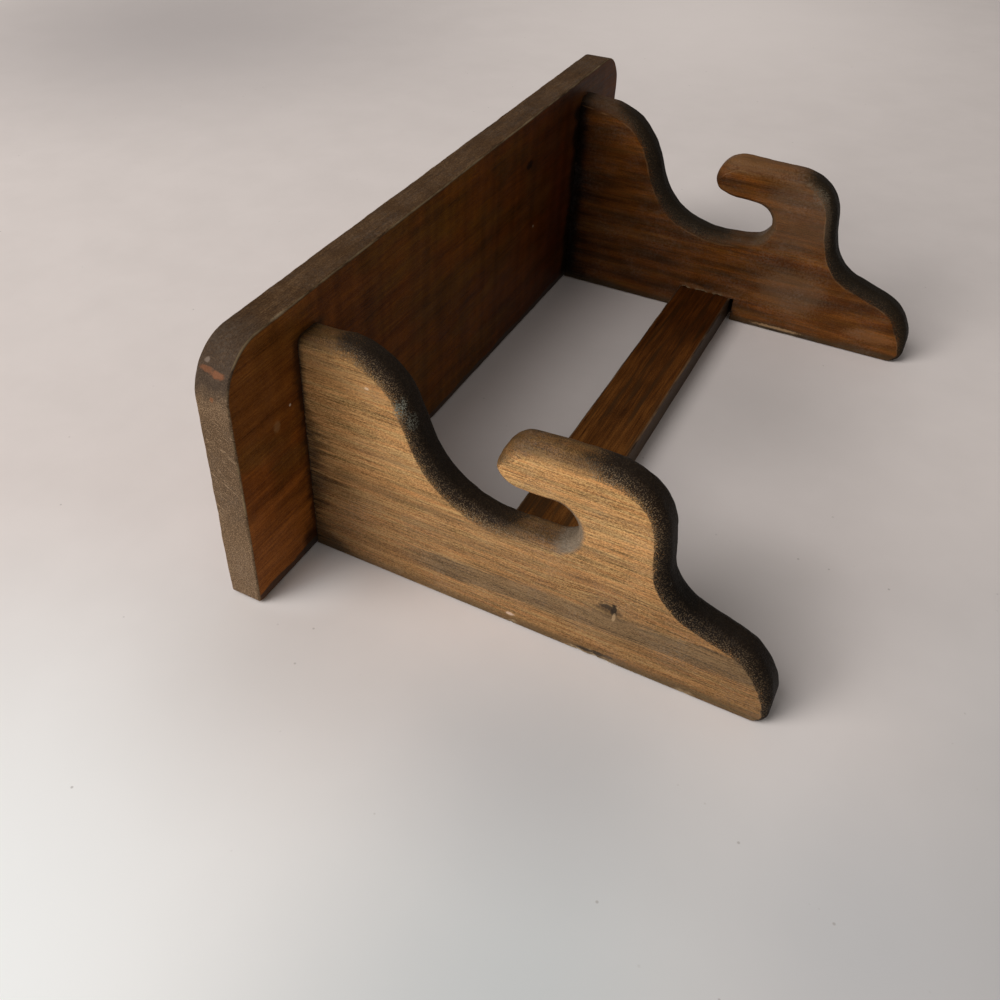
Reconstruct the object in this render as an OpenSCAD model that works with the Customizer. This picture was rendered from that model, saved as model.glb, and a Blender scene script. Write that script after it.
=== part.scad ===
// Wall rack of stained pine: a shelf board over two shaped brackets, tied by a rail at the wall.
// Each bracket has a hooked slot that a rod drops into. All sizes are in millimetres.
// The wall is the plane y = 0 and the front faces -y. The origin is the middle of the rail's back.

/* [Shelf] */
// Length of the shelf board, along the wall
shelf_len = 444; // [400:1:700]
// Depth of the shelf board, out from the wall
shelf_depth = 144; // [135:1:200]
// Thickness of the shelf board
shelf_t = 18; // [15:0.5:25]
// Radius of the shelf's two front corners
corner_r = 25; // [5:1:40]

/* [Brackets] */
// Thickness of each bracket board
bracket_t = 18; // [17:0.5:25]
// Distance from a shelf end in to the outer face of its bracket
bracket_inset = 50; // [10:1:60]
// Drop of each bracket, from the shelf's underside to its lower tip
bracket_drop = 239; // [225:1:270]
// Depth of the bracket's shoulder, where it meets the shelf
shoulder_out = 130; // [120:1:134]
// Drop from the shelf's underside to the shoulder's corner
shoulder_down = 47.5; // [42:0.5:52]
// Drop from the shelf's underside to the inner corner of the slot's mouth
throat_down = 72.5; // [66:0.5:78]
// Radius of the shoulder's curve
shoulder_r = 38.5; // [15:0.5:42]
// Radius of the throat's curve, down into the slot
throat_r = 50; // [20:1:54]
// Radius rounded over along both edges of the shaped outline
edge_r = 6; // [1:0.5:7]

/* [Rod slot] */
// Wood left between the wall and the slot
web_w = 60; // [50:1:64]
// Width of the slot that takes the rod
slot_w = 25; // [20:0.5:28]
// Drop from the shelf's underside to the round end of the slot
slot_end = 140; // [132:1:146]
// Length of the hooked finger, from its nose to the slot's end
finger_len = 43; // [30:1:48]
// Thickness of the hooked finger
finger_t = 26; // [22:1:30]
// Radius of the nose on the slot's side of the finger
nose_r = 11; // [9:0.5:12]

/* [Heel and toe] */
// Width of the heel, from the slot's end to its front corner
heel_w = 34; // [28:1:40]
// How much lower the foot of the flank lies than the heel's corner
flank_lean = 9.5; // [0:0.5:14]
// Depth of the bracket at the foot of the flank
instep_out = 53; // [48:1:58]
// Depth of the bracket at its toe
toe_out = 34; // [30:1:40]
// Radius of the heel's curve
heel_r = 31.5; // [15:0.5:33]
// Radius of the instep's curve
instep_r = 27; // [10:1:30]
// Largest radius of the toe's curve
toe_r = 32.5; // [10:0.5:40]
// Radius at the tip, where the toe meets the wall
tip_r = 8; // [7.5:0.5:12]

/* [Back rail] */
// Width of the rail, up the wall
rail_h = 36; // [25:1:50]
// Thickness of the rail
rail_t = 16; // [10:0.5:20]
// Drop from the shelf's underside to the rail's upper edge
rail_down = 87; // [80:1:100]
// Depth that each end of the rail is housed into its bracket
housing_d = 10; // [9:0.5:12]
// Gap left in the housing below the rail
housing_slack = 2.5; // [0.5:0.5:4]
// Gap at each end of the rail inside its housing
housing_gap = 0.5; // [0.2:0.1:1]

/* [Screws] */
// Diameter of the screws that hold the shelf
shelf_screw_d = 4; // [3:0.5:5]
// Length of the screws that hold the shelf
shelf_screw_len = 50; // [40:1:60]
// Distance of the rear shelf screw from the wall
rear_screw_out = 30; // [20:1:45]
// Distance between the two shelf screws of a bracket
shelf_screw_gap = 66; // [40:1:75]
// Diameter of the screws through the rail's ends
rail_screw_d = 3.5; // [3:0.5:4]
// Length of the screws through the rail's ends
rail_screw_len = 40; // [30:1:50]
// Diameter of the hanger plates' screws
plate_screw_d = 3; // [2.5:0.1:3.2]
// Length of the hanger plates' screws
plate_screw_len = 16; // [12:1:20]
// Gap round a screw's shank
screw_gap = 0.1; // [0.05:0.05:0.2]

/* [Hanger plates] */
// Length of a hanger plate, up the wall
plate_len = 42; // [40:1:50]
// Width of a hanger plate
plate_w = 13; // [12:0.5:15]
// Thickness of a hanger plate
plate_t = 1.8; // [1.6:0.1:2.5]
// Drop from the shelf's underside to the middle of a hanger plate
plate_down = 42; // [34:1:50]
// Distance between the two screws of a hanger plate
plate_screw_gap = 32; // [30:0.5:33]
// Diameter of the keyhole's entry, which a wall screw's head passes
entry_d = 9; // [8:0.5:9.5]
// Width of the keyhole's slot, which hangs on the wall screw's shank
neck_w = 4.5; // [4:0.1:5.5]
// Travel from the keyhole's entry to the top of its slot
neck_len = 8; // [6:0.5:9]
// Depth of the pocket behind the keyhole for the wall screw's head
pocket_d = 8; // [5:0.5:10]
// Gap round a hanger plate in its recess
plate_gap = 0.15; // [0.05:0.05:0.3]

/* [Hidden] */

// A cut starts and ends this far outside the wood
over = 1;
// Angle between two points along a curve of the outline
arc_step = 9;
// Steps round the rounded-over edge
edge_steps = 3;
$fn = 48;

// Heights, counted up from the middle of the rail
under_z = rail_down + rail_h / 2;
plate_z = under_z - plate_down;
// Distances from the middle of the rack
outer_x = shelf_len / 2 - bracket_inset;
inner_x = outer_x - bracket_t;
bracket_x = outer_x - bracket_t / 2;
rail_len = 2 * (inner_x + housing_d - housing_gap);
rail_screw_x = inner_x + housing_d / 2;

// Outline of a bracket
nose_down = slot_end - finger_len;
under_out = web_w + slot_w;
hook_out = under_out + finger_t;
heel_down = slot_end + heel_w;
instep_down = heel_down + flank_lean;
toe_slope = atan2(instep_out - toe_out, bracket_drop - instep_down);
toe_fit = min(toe_r, (toe_out - tip_r) / tan((90 - toe_slope) / 2));

// Corners of the outline: drop, depth, radius, and whether the edge before it and after it is rounded over
CORNERS = [
    [0, 0, 0, 0, 0],
    [0, shoulder_out, 0, 0, 1],
    [shoulder_down, shoulder_out, shoulder_r, 1, 1],
    [throat_down, web_w, throat_r, 1, 1],
    [slot_end, web_w, slot_w / 2, 1, 1],
    [slot_end, under_out, slot_w / 2, 1, 1],
    [nose_down, under_out, nose_r, 1, 1],
    [nose_down, hook_out, finger_t - nose_r, 1, 1],
    [heel_down, hook_out, heel_r, 1, 1],
    [instep_down, instep_out, instep_r, 1, 1],
    [bracket_drop, toe_out, toe_fit, 1, 1],
    [bracket_drop, 0, tip_r, 1, 0]
];

function at(corner) = [corner[0], corner[1]];
function unit(v) = v / norm(v);
function cross_z(a, b) = a.x * b.y - a.y * b.x;

// The points of one corner, moved inwards by inset where its edges are rounded over
function corner_points(i, inset) =
    let (
        n = len(CORNERS),
        here = at(CORNERS[i]),
        before = unit(at(CORNERS[(i + n - 1) % n]) - here),
        after = unit(at(CORNERS[(i + 1) % n]) - here),
        radius = CORNERS[i][2],
        w_in = CORNERS[i][3],
        w_out = CORNERS[i][4],
        half = acos(before * after) / 2,
        turn = 180 - 2 * half,
        bulge = cross_z(after, before) > 0 ? -1 : 1,
        centre = here + unit(before + after) * radius / sin(half),
        start = here + before * radius / tan(half) - centre,
        first = atan2(start.y, start.x),
        steps = max(2, ceil(turn / arc_step))
    )
    radius == 0
        ? [here + before * inset * w_out + after * inset * w_in]
        : [for (k = [0 : steps])
            let (angle = first - bulge * turn * k / steps, w = w_in + (w_out - w_in) * k / steps)
            centre + (radius - bulge * inset * w) * [cos(angle), sin(angle)]];

function outline_all(inset) = [for (i = [0 : len(CORNERS) - 1]) each corner_points(i, inset)];

// Two curves that run into each other share a point, which is kept once
sharp_line = outline_all(0);
kept = [for (i = [0 : len(sharp_line) - 1])
    if (i == 0 || norm(sharp_line[i] - sharp_line[i - 1]) > 0.01) i];
function outline(inset) = let (all = outline_all(inset)) [for (i = kept) all[i]];

// Rings through the board's thickness, from the outer face to the inner: place and inset
rings = [
    for (k = [0 : edge_steps]) [edge_r * (1 - cos(90 * k / edge_steps)), edge_r * (1 - sin(90 * k / edge_steps))],
    for (k = [edge_steps : -1 : 0])
        [bracket_t - edge_r * (1 - cos(90 * k / edge_steps)), edge_r * (1 - sin(90 * k / edge_steps))]
];

// Whether a point of an outline lies in the triangle a, b, c
function covers(a, b, c, p) =
    cross_z(b - a, p - a) <= 0 && cross_z(c - b, p - b) <= 0 && cross_z(a - c, p - c) <= 0;

// Whether the loop's corner k can be cut off as a triangle that holds no other point of the loop
function is_ear(points, loop, k) =
    let (
        n = len(loop),
        a = points[loop[(k + n - 1) % n]],
        b = points[loop[k]],
        c = points[loop[(k + 1) % n]]
    )
    cross_z(b - a, c - b) < 0
        && len([for (i = [2 : n - 2]) if (covers(a, b, c, points[loop[(k + i) % n]])) i]) == 0;

function first_ear(points, loop, k) = is_ear(points, loop, k) ? k : first_ear(points, loop, k + 1);

// A loop of point numbers cut into triangles, one corner at a time
function triangles(points, loop) =
    let (n = len(loop), k = n > 3 ? first_ear(points, loop, 0) : 1)
    n == 3
        ? [loop]
        : concat([[loop[(k + n - 1) % n], loop[k], loop[(k + 1) % n]]],
                 triangles(points, [for (i = [0 : n - 1]) if (i != k) loop[i]]));

// A bracket board with its shaped edge rounded over, outer face on x = 0
module bracket_board() {
    n = len(kept);
    last = len(rings) - 1;
    points = [for (ring = rings) each [for (p = outline(ring[1])) [ring[0], -p.y, under_z - p.x]]];
    sides = [for (j = [0 : last - 1]) each [for (i = [0 : n - 1])
        [j * n + i, (j + 1) * n + i, (j + 1) * n + (i + 1) % n, j * n + (i + 1) % n]]];
    outer = triangles(outline(edge_r), [for (i = [0 : n - 1]) i]);
    inner = [for (t = outer) [for (i = t) last * n + i]];
    flipped = [for (t = inner) [t[2], t[1], t[0]]];
    polyhedron(points = points, faces = concat(outer, sides, flipped), convexity = 6);
}

// Head of a countersunk screw: a cone as deep as it is wider than the shank
function head_r(d) = d;
function head_h(d) = head_r(d) - d / 2;

// A countersunk wood screw along -z with its head's top on z = 0; the thread is its outer cylinder
module wood_screw(d, length) {
    tip = 1.5 * d;
    rim = 0.1 * d;
    recess_w = 0.22 * d;
    recess_l = 1.1 * d;
    recess_d = 0.45 * d;
    difference() {
        rotate_extrude()
            polygon([[0, 0], [head_r(d), 0], [head_r(d), -rim], [d / 2, -rim - head_h(d)],
                     [d / 2, tip - length], [0, -length]]);
        for (turn = [0, 90])
            rotate([0, 0, turn])
                translate([-recess_l / 2, -recess_w / 2, -recess_d])
                    cube([recess_l, recess_w, recess_d + over]);
    }
}

// The hole that such a screw sits in, open above z = 0
module screw_hole(d, length) {
    rim = 0.1 * d;
    gap = screw_gap;
    rotate_extrude()
        polygon([[0, over], [head_r(d) + gap, over], [head_r(d) + gap, -rim], [d / 2 + gap, -rim - head_h(d)],
                 [d / 2 + gap, -length - gap], [0, -length - gap]]);
}

// Children placed at the two shelf screws of the left bracket, on the shelf's top
module at_shelf_screws() {
    for (out = [rear_screw_out, rear_screw_out + shelf_screw_gap])
        translate([-bracket_x, -out, under_z + shelf_t]) children();
}

// Children placed at the left end's rail screw, pointing in from the wall
module at_rail_screw() {
    translate([-rail_screw_x, 0, 0]) rotate([-90, 0, 0]) children();
}

// Children placed at the two screws of the left hanger plate, pointing in from the wall
module at_plate_screws() {
    for (z = [-plate_screw_gap / 2, plate_screw_gap / 2])
        translate([-bracket_x, 0, plate_z + z]) rotate([-90, 0, 0]) children();
}

// Children and their mirror image on the other side of the rack
module both_sides() {
    children();
    mirror([1, 0, 0]) children();
}

// Outline of a hanger plate, grown by a gap
module plate_outline(gap) {
    reach = (plate_len - plate_w) / 2;
    square([plate_w + 2 * gap, 2 * reach], center = true);
    for (y = [-reach, reach])
        translate([0, y]) circle(plate_w / 2 + gap);
}

// Keyhole in the plate, its entry below and its slot above
module keyhole() {
    low = -neck_len / 2;
    translate([0, low]) circle(entry_d / 2);
    translate([-neck_w / 2, low]) square([neck_w, neck_len]);
    translate([0, low + neck_len]) circle(neck_w / 2);
}

// Children, drawn flat, set upright on the wall behind the left bracket and made as deep as given
module let_in(depth, outside) {
    translate([-bracket_x, outside, plate_z]) rotate([90, 0, 0]) linear_extrude(depth + outside) children();
}

module shelf_board() {
    mid = shelf_len / 2 - corner_r;
    color("#5a3c26") difference() {
        translate([0, 0, under_z]) linear_extrude(shelf_t) {
            translate([-mid, -shelf_depth]) square([2 * mid, shelf_depth]);
            translate([-shelf_len / 2, corner_r - shelf_depth]) square([shelf_len, shelf_depth - corner_r]);
            for (side = [-1, 1])
                translate([side * mid, corner_r - shelf_depth]) circle(corner_r);
        }
        both_sides() at_shelf_screws() screw_hole(shelf_screw_d, shelf_screw_len);
    }
}

// The left bracket; the right one is its mirror image
module bracket() {
    pocket_l = neck_len + entry_d + 2;
    pocket_w = entry_d + 1;
    difference() {
        translate([-outer_x, 0, 0]) bracket_board();
        // Housing for the rail's end, open at the wall and at the inner face
        translate([-inner_x - housing_d, -rail_t, -rail_h / 2 - housing_slack])
            cube([housing_d + over, rail_t + over, rail_h + housing_slack]);
        // Recess for the hanger plate, and the pocket behind its keyhole
        let_in(plate_t, over) plate_outline(plate_gap);
        let_in(plate_t + pocket_d, over) square([pocket_w, pocket_l], center = true);
        at_shelf_screws() screw_hole(shelf_screw_d, shelf_screw_len);
        at_rail_screw() screw_hole(rail_screw_d, rail_screw_len);
        at_plate_screws() screw_hole(plate_screw_d, plate_screw_len);
    }
}

module left_bracket() {
    color("#c49a68") bracket();
}

module right_bracket() {
    color("#8a6338") mirror([1, 0, 0]) bracket();
}

module back_rail() {
    color("#6f4522") difference() {
        translate([-rail_len / 2, -rail_t, -rail_h / 2]) cube([rail_len, rail_t, rail_h]);
        both_sides() at_rail_screw() screw_hole(rail_screw_d, rail_screw_len);
    }
}

module shelf_screws() {
    color("#8c8c90") both_sides() at_shelf_screws() wood_screw(shelf_screw_d, shelf_screw_len);
}

module rail_screws() {
    color("#8c8c90") both_sides() at_rail_screw() wood_screw(rail_screw_d, rail_screw_len);
}

module hanger_plate() {
    difference() {
        let_in(plate_t, 0) plate_outline(0);
        let_in(plate_t + over, over) keyhole();
        at_plate_screws() screw_hole(plate_screw_d, plate_screw_len);
    }
}

module left_hanger_plate() {
    color("#b9b4a6") hanger_plate();
}

module right_hanger_plate() {
    color("#b9b4a6") mirror([1, 0, 0]) hanger_plate();
}

module hanger_screws() {
    color("#8c8c90") both_sides() at_plate_screws() wood_screw(plate_screw_d, plate_screw_len);
}

shelf_board();
left_bracket();
right_bracket();
back_rail();
shelf_screws();
rail_screws();
left_hanger_plate();
right_hanger_plate();
hanger_screws();
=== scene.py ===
import math

import bmesh
import bpy
import numpy as np
from mathutils import Matrix, Vector, geometry, noise


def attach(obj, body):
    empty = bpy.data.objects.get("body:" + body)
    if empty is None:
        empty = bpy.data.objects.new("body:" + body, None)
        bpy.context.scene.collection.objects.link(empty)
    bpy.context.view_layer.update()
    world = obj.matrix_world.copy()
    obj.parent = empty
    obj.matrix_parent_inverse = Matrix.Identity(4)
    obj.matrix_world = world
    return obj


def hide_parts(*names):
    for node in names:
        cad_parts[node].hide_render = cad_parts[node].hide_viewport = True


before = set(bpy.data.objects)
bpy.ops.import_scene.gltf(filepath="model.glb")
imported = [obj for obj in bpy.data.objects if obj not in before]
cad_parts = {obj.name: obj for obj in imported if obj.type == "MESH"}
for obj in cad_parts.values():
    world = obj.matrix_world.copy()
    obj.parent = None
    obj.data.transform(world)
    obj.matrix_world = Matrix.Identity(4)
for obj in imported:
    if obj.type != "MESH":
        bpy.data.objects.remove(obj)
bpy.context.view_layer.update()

mm = 0.001
scene = bpy.context.scene

# Sizes in millimetres, as in the construction. Depths run out from the wall, drops run down from the
# shelf's underside.
shelf = {
    "length": 444, "depth": 144, "thick": 18, "cornerRadius": 25, "wornCorner": 2.0, "underZ": 105,
    "arris": 1.1, "cell": 3.2, "step": 1.6, "seed": 4.0,
}
bracket = {
    "thick": 18, "outerX": 172, "drop": 239, "shoulderOut": 130, "shoulderDown": 47.5, "throatDown": 72.5,
    "shoulderRadius": 38.5, "throatRadius": 50, "web": 60, "slotWidth": 25, "slotEnd": 140,
    "fingerLength": 43, "fingerThick": 26, "noseRadius": 11, "heelWidth": 34, "flankLean": 9.5,
    "instepOut": 53, "toeOut": 34, "heelRadius": 31.5, "instepRadius": 27, "toeRadius": 32.5, "tipRadius": 8,
    "crease": 27, "arris": 0.5, "cell": 2.4, "step": 1.25, "coarse": 4.0, "setback": 9.0, "roundMost": 7.6,
    "smoothAngle": 21, "slotEdge": 128,
}
rail = {
    "length": 327, "height": 36, "thick": 16, "arris": 0.9, "cell": 3.0, "step": 1.6, "seed": 11.0,
    "housing": 10.0, "slack": 2.5, "screwX": 159,
}
hanger = {
    "length": 42, "width": 13, "thick": 1.8, "drop": 42, "screwGap": 32, "entry": 9, "neckWidth": 4.5,
    "neckLength": 8, "pocket": 8, "gap": 0.15, "arris": 0.22, "cell": 1.5, "step": 0.6,
}
screws = {
    "shelf": {"shank": 4.0, "length": 50, "rearOut": 30, "gap": 66, "pitch": 1.9},
    "rail": {"shank": 3.5, "length": 40, "pitch": 1.7},
    "plate": {"shank": 3.0, "length": 16, "pitch": 1.35},
    "slack": 0.1,
}
bracketX = bracket["outerX"] - bracket["thick"] / 2
plateZ = shelf["underZ"] - hanger["drop"]


def unit(v):
    return v / np.linalg.norm(v)


def cornerArc(corners, index, stepMm):
    # one corner as points with the share of rounding-over on the edges before and after each
    count = len(corners)
    here = np.array(corners[index][:2], float)
    before = unit(np.array(corners[index - 1][:2]) - here)
    after = unit(np.array(corners[(index + 1) % count][:2]) - here)
    radius, wIn, wOut = corners[index][2:]
    if radius == 0:
        return [(here, wIn, wOut)]
    half = math.acos(float(before @ after)) / 2
    turn = math.pi - 2 * half
    bulge = -1 if after[0] * before[1] - after[1] * before[0] > 0 else 1
    centre = here + unit(before + after) * radius / math.sin(half)
    start = here + before * radius / math.tan(half) - centre
    first = math.atan2(start[1], start[0])
    steps = max(4, math.ceil(turn * radius / stepMm))
    run = []
    for k in range(steps + 1):
        angle = first - bulge * turn * k / steps
        w = wIn + (wOut - wIn) * k / steps
        run.append((centre + radius * np.array([math.cos(angle), math.sin(angle)]), w, w))
    return run


def denseLoop(corners, stepMm, coarse, setback):
    # the closed outline with its straight runs divided too; beside a rounded run they start a little away
    runs = [cornerArc(corners, i, stepMm) for i in range(len(corners))]
    out = []
    for i, run in enumerate(runs):
        for item in run:
            if not out or np.linalg.norm(item[0] - out[-1][0]) > 0.02:
                out.append(item)
        a, b = run[-1], runs[(i + 1) % len(runs)][0]
        length = np.linalg.norm(b[0] - a[0])
        weight = a[2]
        spacing = stepMm if weight > 0 or not coarse else coarse
        sharpHere, sharpNext = corners[i][2] == 0, corners[(i + 1) % len(runs)][2] == 0
        lead = setback if sharpHere and (not coarse or weight == 0 and a[1] > 0.5) else 0
        tail = setback if sharpNext and (not coarse or weight == 0 and b[2] > 0.5) else 0
        pieces = max(1, int((length - lead - tail) / spacing))
        marks = [lead + (length - lead - tail) * k / pieces for k in range(pieces + 1)]
        for d in marks:
            if spacing * 0.3 < d < length - spacing * 0.3:
                out.append((a[0] + (b[0] - a[0]) * d / length, weight, weight))
    points = np.array([o[0] for o in out])
    return points, np.array([o[1] for o in out]), np.array([o[2] for o in out])


def bracketCorners():
    b = bracket
    noseDown = b["slotEnd"] - b["fingerLength"]
    under = b["web"] + b["slotWidth"]
    hook = under + b["fingerThick"]
    heelDown = b["slotEnd"] + b["heelWidth"]
    instepDown = heelDown + b["flankLean"]
    slotRadius = b["slotWidth"] / 2
    return [
        (0, 0, 0, 0, 0),
        (0, b["shoulderOut"], 0, 0, 1),
        (b["shoulderDown"], b["shoulderOut"], b["shoulderRadius"], 1, 1),
        (b["throatDown"], b["web"], b["throatRadius"], 1, 1),
        (b["slotEnd"], b["web"], slotRadius, 1, 1),
        (b["slotEnd"], under, slotRadius, 1, 1),
        (noseDown, under, b["noseRadius"], 1, 1),
        (noseDown, hook, b["fingerThick"] - b["noseRadius"], 1, 1),
        (heelDown, hook, b["heelRadius"], 1, 1),
        (instepDown, b["instepOut"], b["instepRadius"], 1, 1),
        (b["drop"], b["toeOut"], b["toeRadius"], 1, 1),
        (b["drop"], 0, b["tipRadius"], 1, 0),
    ]


def ripple(values, wave, amount, seed):
    # smooth random offsets along a run of lengths
    return np.array([noise.noise(Vector((v / wave, seed, seed * 0.37))) for v in values]) * amount


def runLengths(points):
    return np.concatenate([[0], np.cumsum(np.linalg.norm(np.diff(points, axis=0), axis=1))])


def inwardNormals(points):
    ahead = np.roll(points, -1, axis=0) - np.roll(points, 1, axis=0)
    ahead /= np.linalg.norm(ahead, axis=1)[:, None]
    return np.stack([-ahead[:, 1], ahead[:, 0]], axis=1)


def insetPoints(points, before, after):
    # moves a loop inwards by different amounts on the edges before and after each point
    d0 = points - np.roll(points, 1, axis=0)
    d1 = np.roll(points, -1, axis=0) - points
    d0 /= np.linalg.norm(d0, axis=1)[:, None]
    d1 /= np.linalg.norm(d1, axis=1)[:, None]
    n0 = np.stack([-d0[:, 1], d0[:, 0]], axis=1)
    n1 = np.stack([-d1[:, 1], d1[:, 0]], axis=1)
    cross = d0[:, 0] * d1[:, 1] - d0[:, 1] * d1[:, 0]
    out = points.copy()
    for i in range(len(points)):
        if abs(cross[i]) > 0.5:
            move = np.linalg.solve(np.array([n0[i], n1[i]]), np.array([before[i], after[i]]))
        else:
            mean = n0[i] + n1[i]
            mean /= np.linalg.norm(mean)
            move = mean * (before[i] + after[i]) / 2
        out[i] = points[i] + move
    return out


def insideLoop(points, loop):
    x, y = points[:, 0][:, None], points[:, 1][:, None]
    x1, y1 = loop[:, 0][None], loop[:, 1][None]
    x2, y2 = np.roll(loop[:, 0], -1)[None], np.roll(loop[:, 1], -1)[None]
    rise = np.where(abs(y2 - y1) < 1e-12, 1e-12, y2 - y1)
    hit = ((y1 > y) != (y2 > y)) & (x < (x2 - x1) * (y - y1) / rise + x1)
    return hit.sum(axis=1) % 2 == 1


def loopDistance(points, loop, wanted=None):
    # distance from each point to the nearest wanted edge of the loop, and that edge's number
    a, b = loop, np.roll(loop, -1, axis=0)
    keys = np.arange(len(loop)) if wanted is None else np.nonzero(wanted)[0]
    a, b = a[keys], b[keys]
    ab = b - a
    size = (ab ** 2).sum(axis=1)
    best = np.empty(len(points))
    which = np.empty(len(points), int)
    for s in range(0, len(points), 2000):
        p = points[s:s + 2000, None]
        t = np.clip(((p - a[None]) * ab[None]).sum(axis=2) / size[None], 0, 1)
        d = np.linalg.norm(a[None] + t[..., None] * ab[None] - p, axis=2)
        k = d.argmin(axis=1)
        best[s:s + 2000] = d[np.arange(len(k)), k]
        which[s:s + 2000] = keys[k]
    return best, which


def boardShell(loop, before, after, thick, cell, crease=0.3):
    # a closed board: rings round its rounded-over edge, and both faces filled with small triangles
    # crease is the angle at which the rounding leaves the face
    steps = 7
    count = len(loop)
    rim = np.maximum(before, after)
    rings = []
    for k in range(steps + 1):
        angle = crease + (math.pi / 2 - crease) * k / steps
        s = (1 - math.sin(angle)) / (1 - math.sin(crease))
        h = (math.cos(crease) - math.cos(angle)) / math.cos(crease)
        rings.append((insetPoints(loop, before * s, after * s), rim * h))
    middle = [(loop, rim + (thick - 2 * rim) * f) for f in (0.33, 0.67)]
    back = [(p, thick - w) for p, w in reversed(rings)]
    layers = rings + middle + back
    verts = np.concatenate([np.column_stack([p, w]) for p, w in layers])
    faces = []
    for j in range(len(layers) - 1):
        for i in range(count):
            k = (i + 1) % count
            faces.append((j * count + i, j * count + k, (j + 1) * count + k, (j + 1) * count + i))
    edge = rings[0][0]
    low, high = edge.min(axis=0), edge.max(axis=0)
    gridU = np.arange(low[0] + cell / 2, high[0], cell)
    gridV = np.arange(low[1] + cell / 2, high[1], cell * 0.866)
    grid = np.array([(u + (cell / 2 if r % 2 else 0), v) for r, v in enumerate(gridV) for u in gridU])
    grid = grid[insideLoop(grid, edge)]
    rimGap, _ = loopDistance(grid, edge)
    grid = grid[rimGap > cell * 0.6]
    flat = np.concatenate([edge, grid])
    result = geometry.delaunay_2d_cdt(
        [Vector(p) for p in flat], [(i, (i + 1) % count) for i in range(count)], [], 0, 1e-7)
    spots = np.array([tuple(v) for v in result[0]])
    origin = [ids[0] for ids in result[3]]
    tris = np.array([f for f in result[2]])
    centre = spots[tris].mean(axis=1)
    tris = tris[insideLoop(centre, edge)]
    a, b, c = spots[tris[:, 0]], spots[tris[:, 1]], spots[tris[:, 2]]
    ccw = (b[:, 0] - a[:, 0]) * (c[:, 1] - a[:, 1]) - (b[:, 1] - a[:, 1]) * (c[:, 0] - a[:, 0]) > 0
    tris = np.where(ccw[:, None], tris, tris[:, ::-1])
    last = (len(layers) - 1) * count
    base = len(verts)
    verts = np.concatenate([verts, np.column_stack([grid, np.zeros(len(grid))]),
                            np.column_stack([grid, np.full(len(grid), thick)])])
    for tri in tris:
        ids = [origin[t] for t in tri]
        front = [i if i < count else base + i - count for i in ids]
        rear = [last + i if i < count else base + len(grid) + i - count for i in ids]
        faces.append(tuple(reversed(front)))
        faces.append(tuple(rear))
    return verts, faces


def meshObject(name, verts, faces):
    mesh = bpy.data.meshes.new(name)
    mesh.from_pydata([tuple(v) for v in verts], [], [tuple(int(i) for i in f) for f in faces])
    mesh.update()
    obj = bpy.data.objects.new(name, mesh)
    scene.collection.objects.link(obj)
    return obj


def workObject(name, work):
    obj = meshObject(name, [], [])
    work.to_mesh(obj.data)
    work.free()
    return obj


def applied(obj):
    # bakes the object's modifiers into a new plain mesh
    graph = bpy.context.evaluated_depsgraph_get()
    graph.update()
    mesh = bpy.data.meshes.new_from_object(obj.evaluated_get(graph))
    old = obj.data
    obj.modifiers.clear()
    obj.data = mesh
    bpy.data.meshes.remove(old)
    mesh.name = obj.name
    return obj


def lathe(name, profile, origin, axis, sides=32):
    # a closed turned shape: profile of (radius, distance along the axis), pole to pole
    axis = Vector(axis).normalized()
    turn = Vector((0, 0, 1)).rotation_difference(axis).to_matrix()
    verts, faces, rows = [], [], []
    for r, z in profile:
        if r == 0:
            rows.append([len(verts)])
            verts.append(Vector((0, 0, z)))
        else:
            rows.append(list(range(len(verts), len(verts) + sides)))
            for k in range(sides):
                a = 2 * math.pi * k / sides
                verts.append(Vector((r * math.cos(a), r * math.sin(a), z)))
    for one, two in zip(rows, rows[1:]):
        for k in range(sides):
            n = (k + 1) % sides
            if len(one) == 1:
                faces.append((one[0], two[n], two[k]))
            elif len(two) == 1:
                faces.append((one[k], one[n], two[0]))
            else:
                faces.append((one[k], one[n], two[n], two[k]))
    obj = meshObject(name, [turn @ v + Vector(origin) for v in verts], faces)
    tidy = bmesh.new()
    tidy.from_mesh(obj.data)
    bmesh.ops.recalc_face_normals(tidy, faces=tidy.faces)
    tidy.to_mesh(obj.data)
    tidy.free()
    return obj


def screwCutter(name, origin, axis, shank, length):
    # the countersunk hole of a screw; axis points into the wood
    gap = screws["slack"]
    head, rim = shank, 0.1 * shank
    profile = [(0, -1.0), (head + gap, -1.0), (head + gap, rim), (shank / 2 + gap, rim + head - shank / 2),
               (shank / 2 + gap, length + gap), (0, length + gap)]
    return lathe(name, [(r * mm, z * mm) for r, z in profile], Vector(origin) * mm, axis)


def boxCutter(name, low, high, rough=0.0, seed=0.0, cell=1.2):
    # a box with slightly uneven faces, as a hand-cut notch has
    low, high = np.array(low, float), np.array(high, float)
    work = bmesh.new()
    bmesh.ops.create_cube(work, size=1)
    for v in work.verts:
        v.co = Vector([low[i] if v.co[i] < 0 else high[i] for i in range(3)])
    cuts = int(max(high - low) / cell) if rough else 0
    if cuts:
        bmesh.ops.subdivide_edges(work, edges=work.edges, cuts=min(cuts, 24), use_grid_fill=True)
        for v in work.verts:
            push = noise.noise_vector(v.co * 0.22 + Vector((seed, 0, 0))) * rough
            v.co += push
    for v in work.verts:
        v.co *= mm
    return workObject(name, work)


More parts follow.
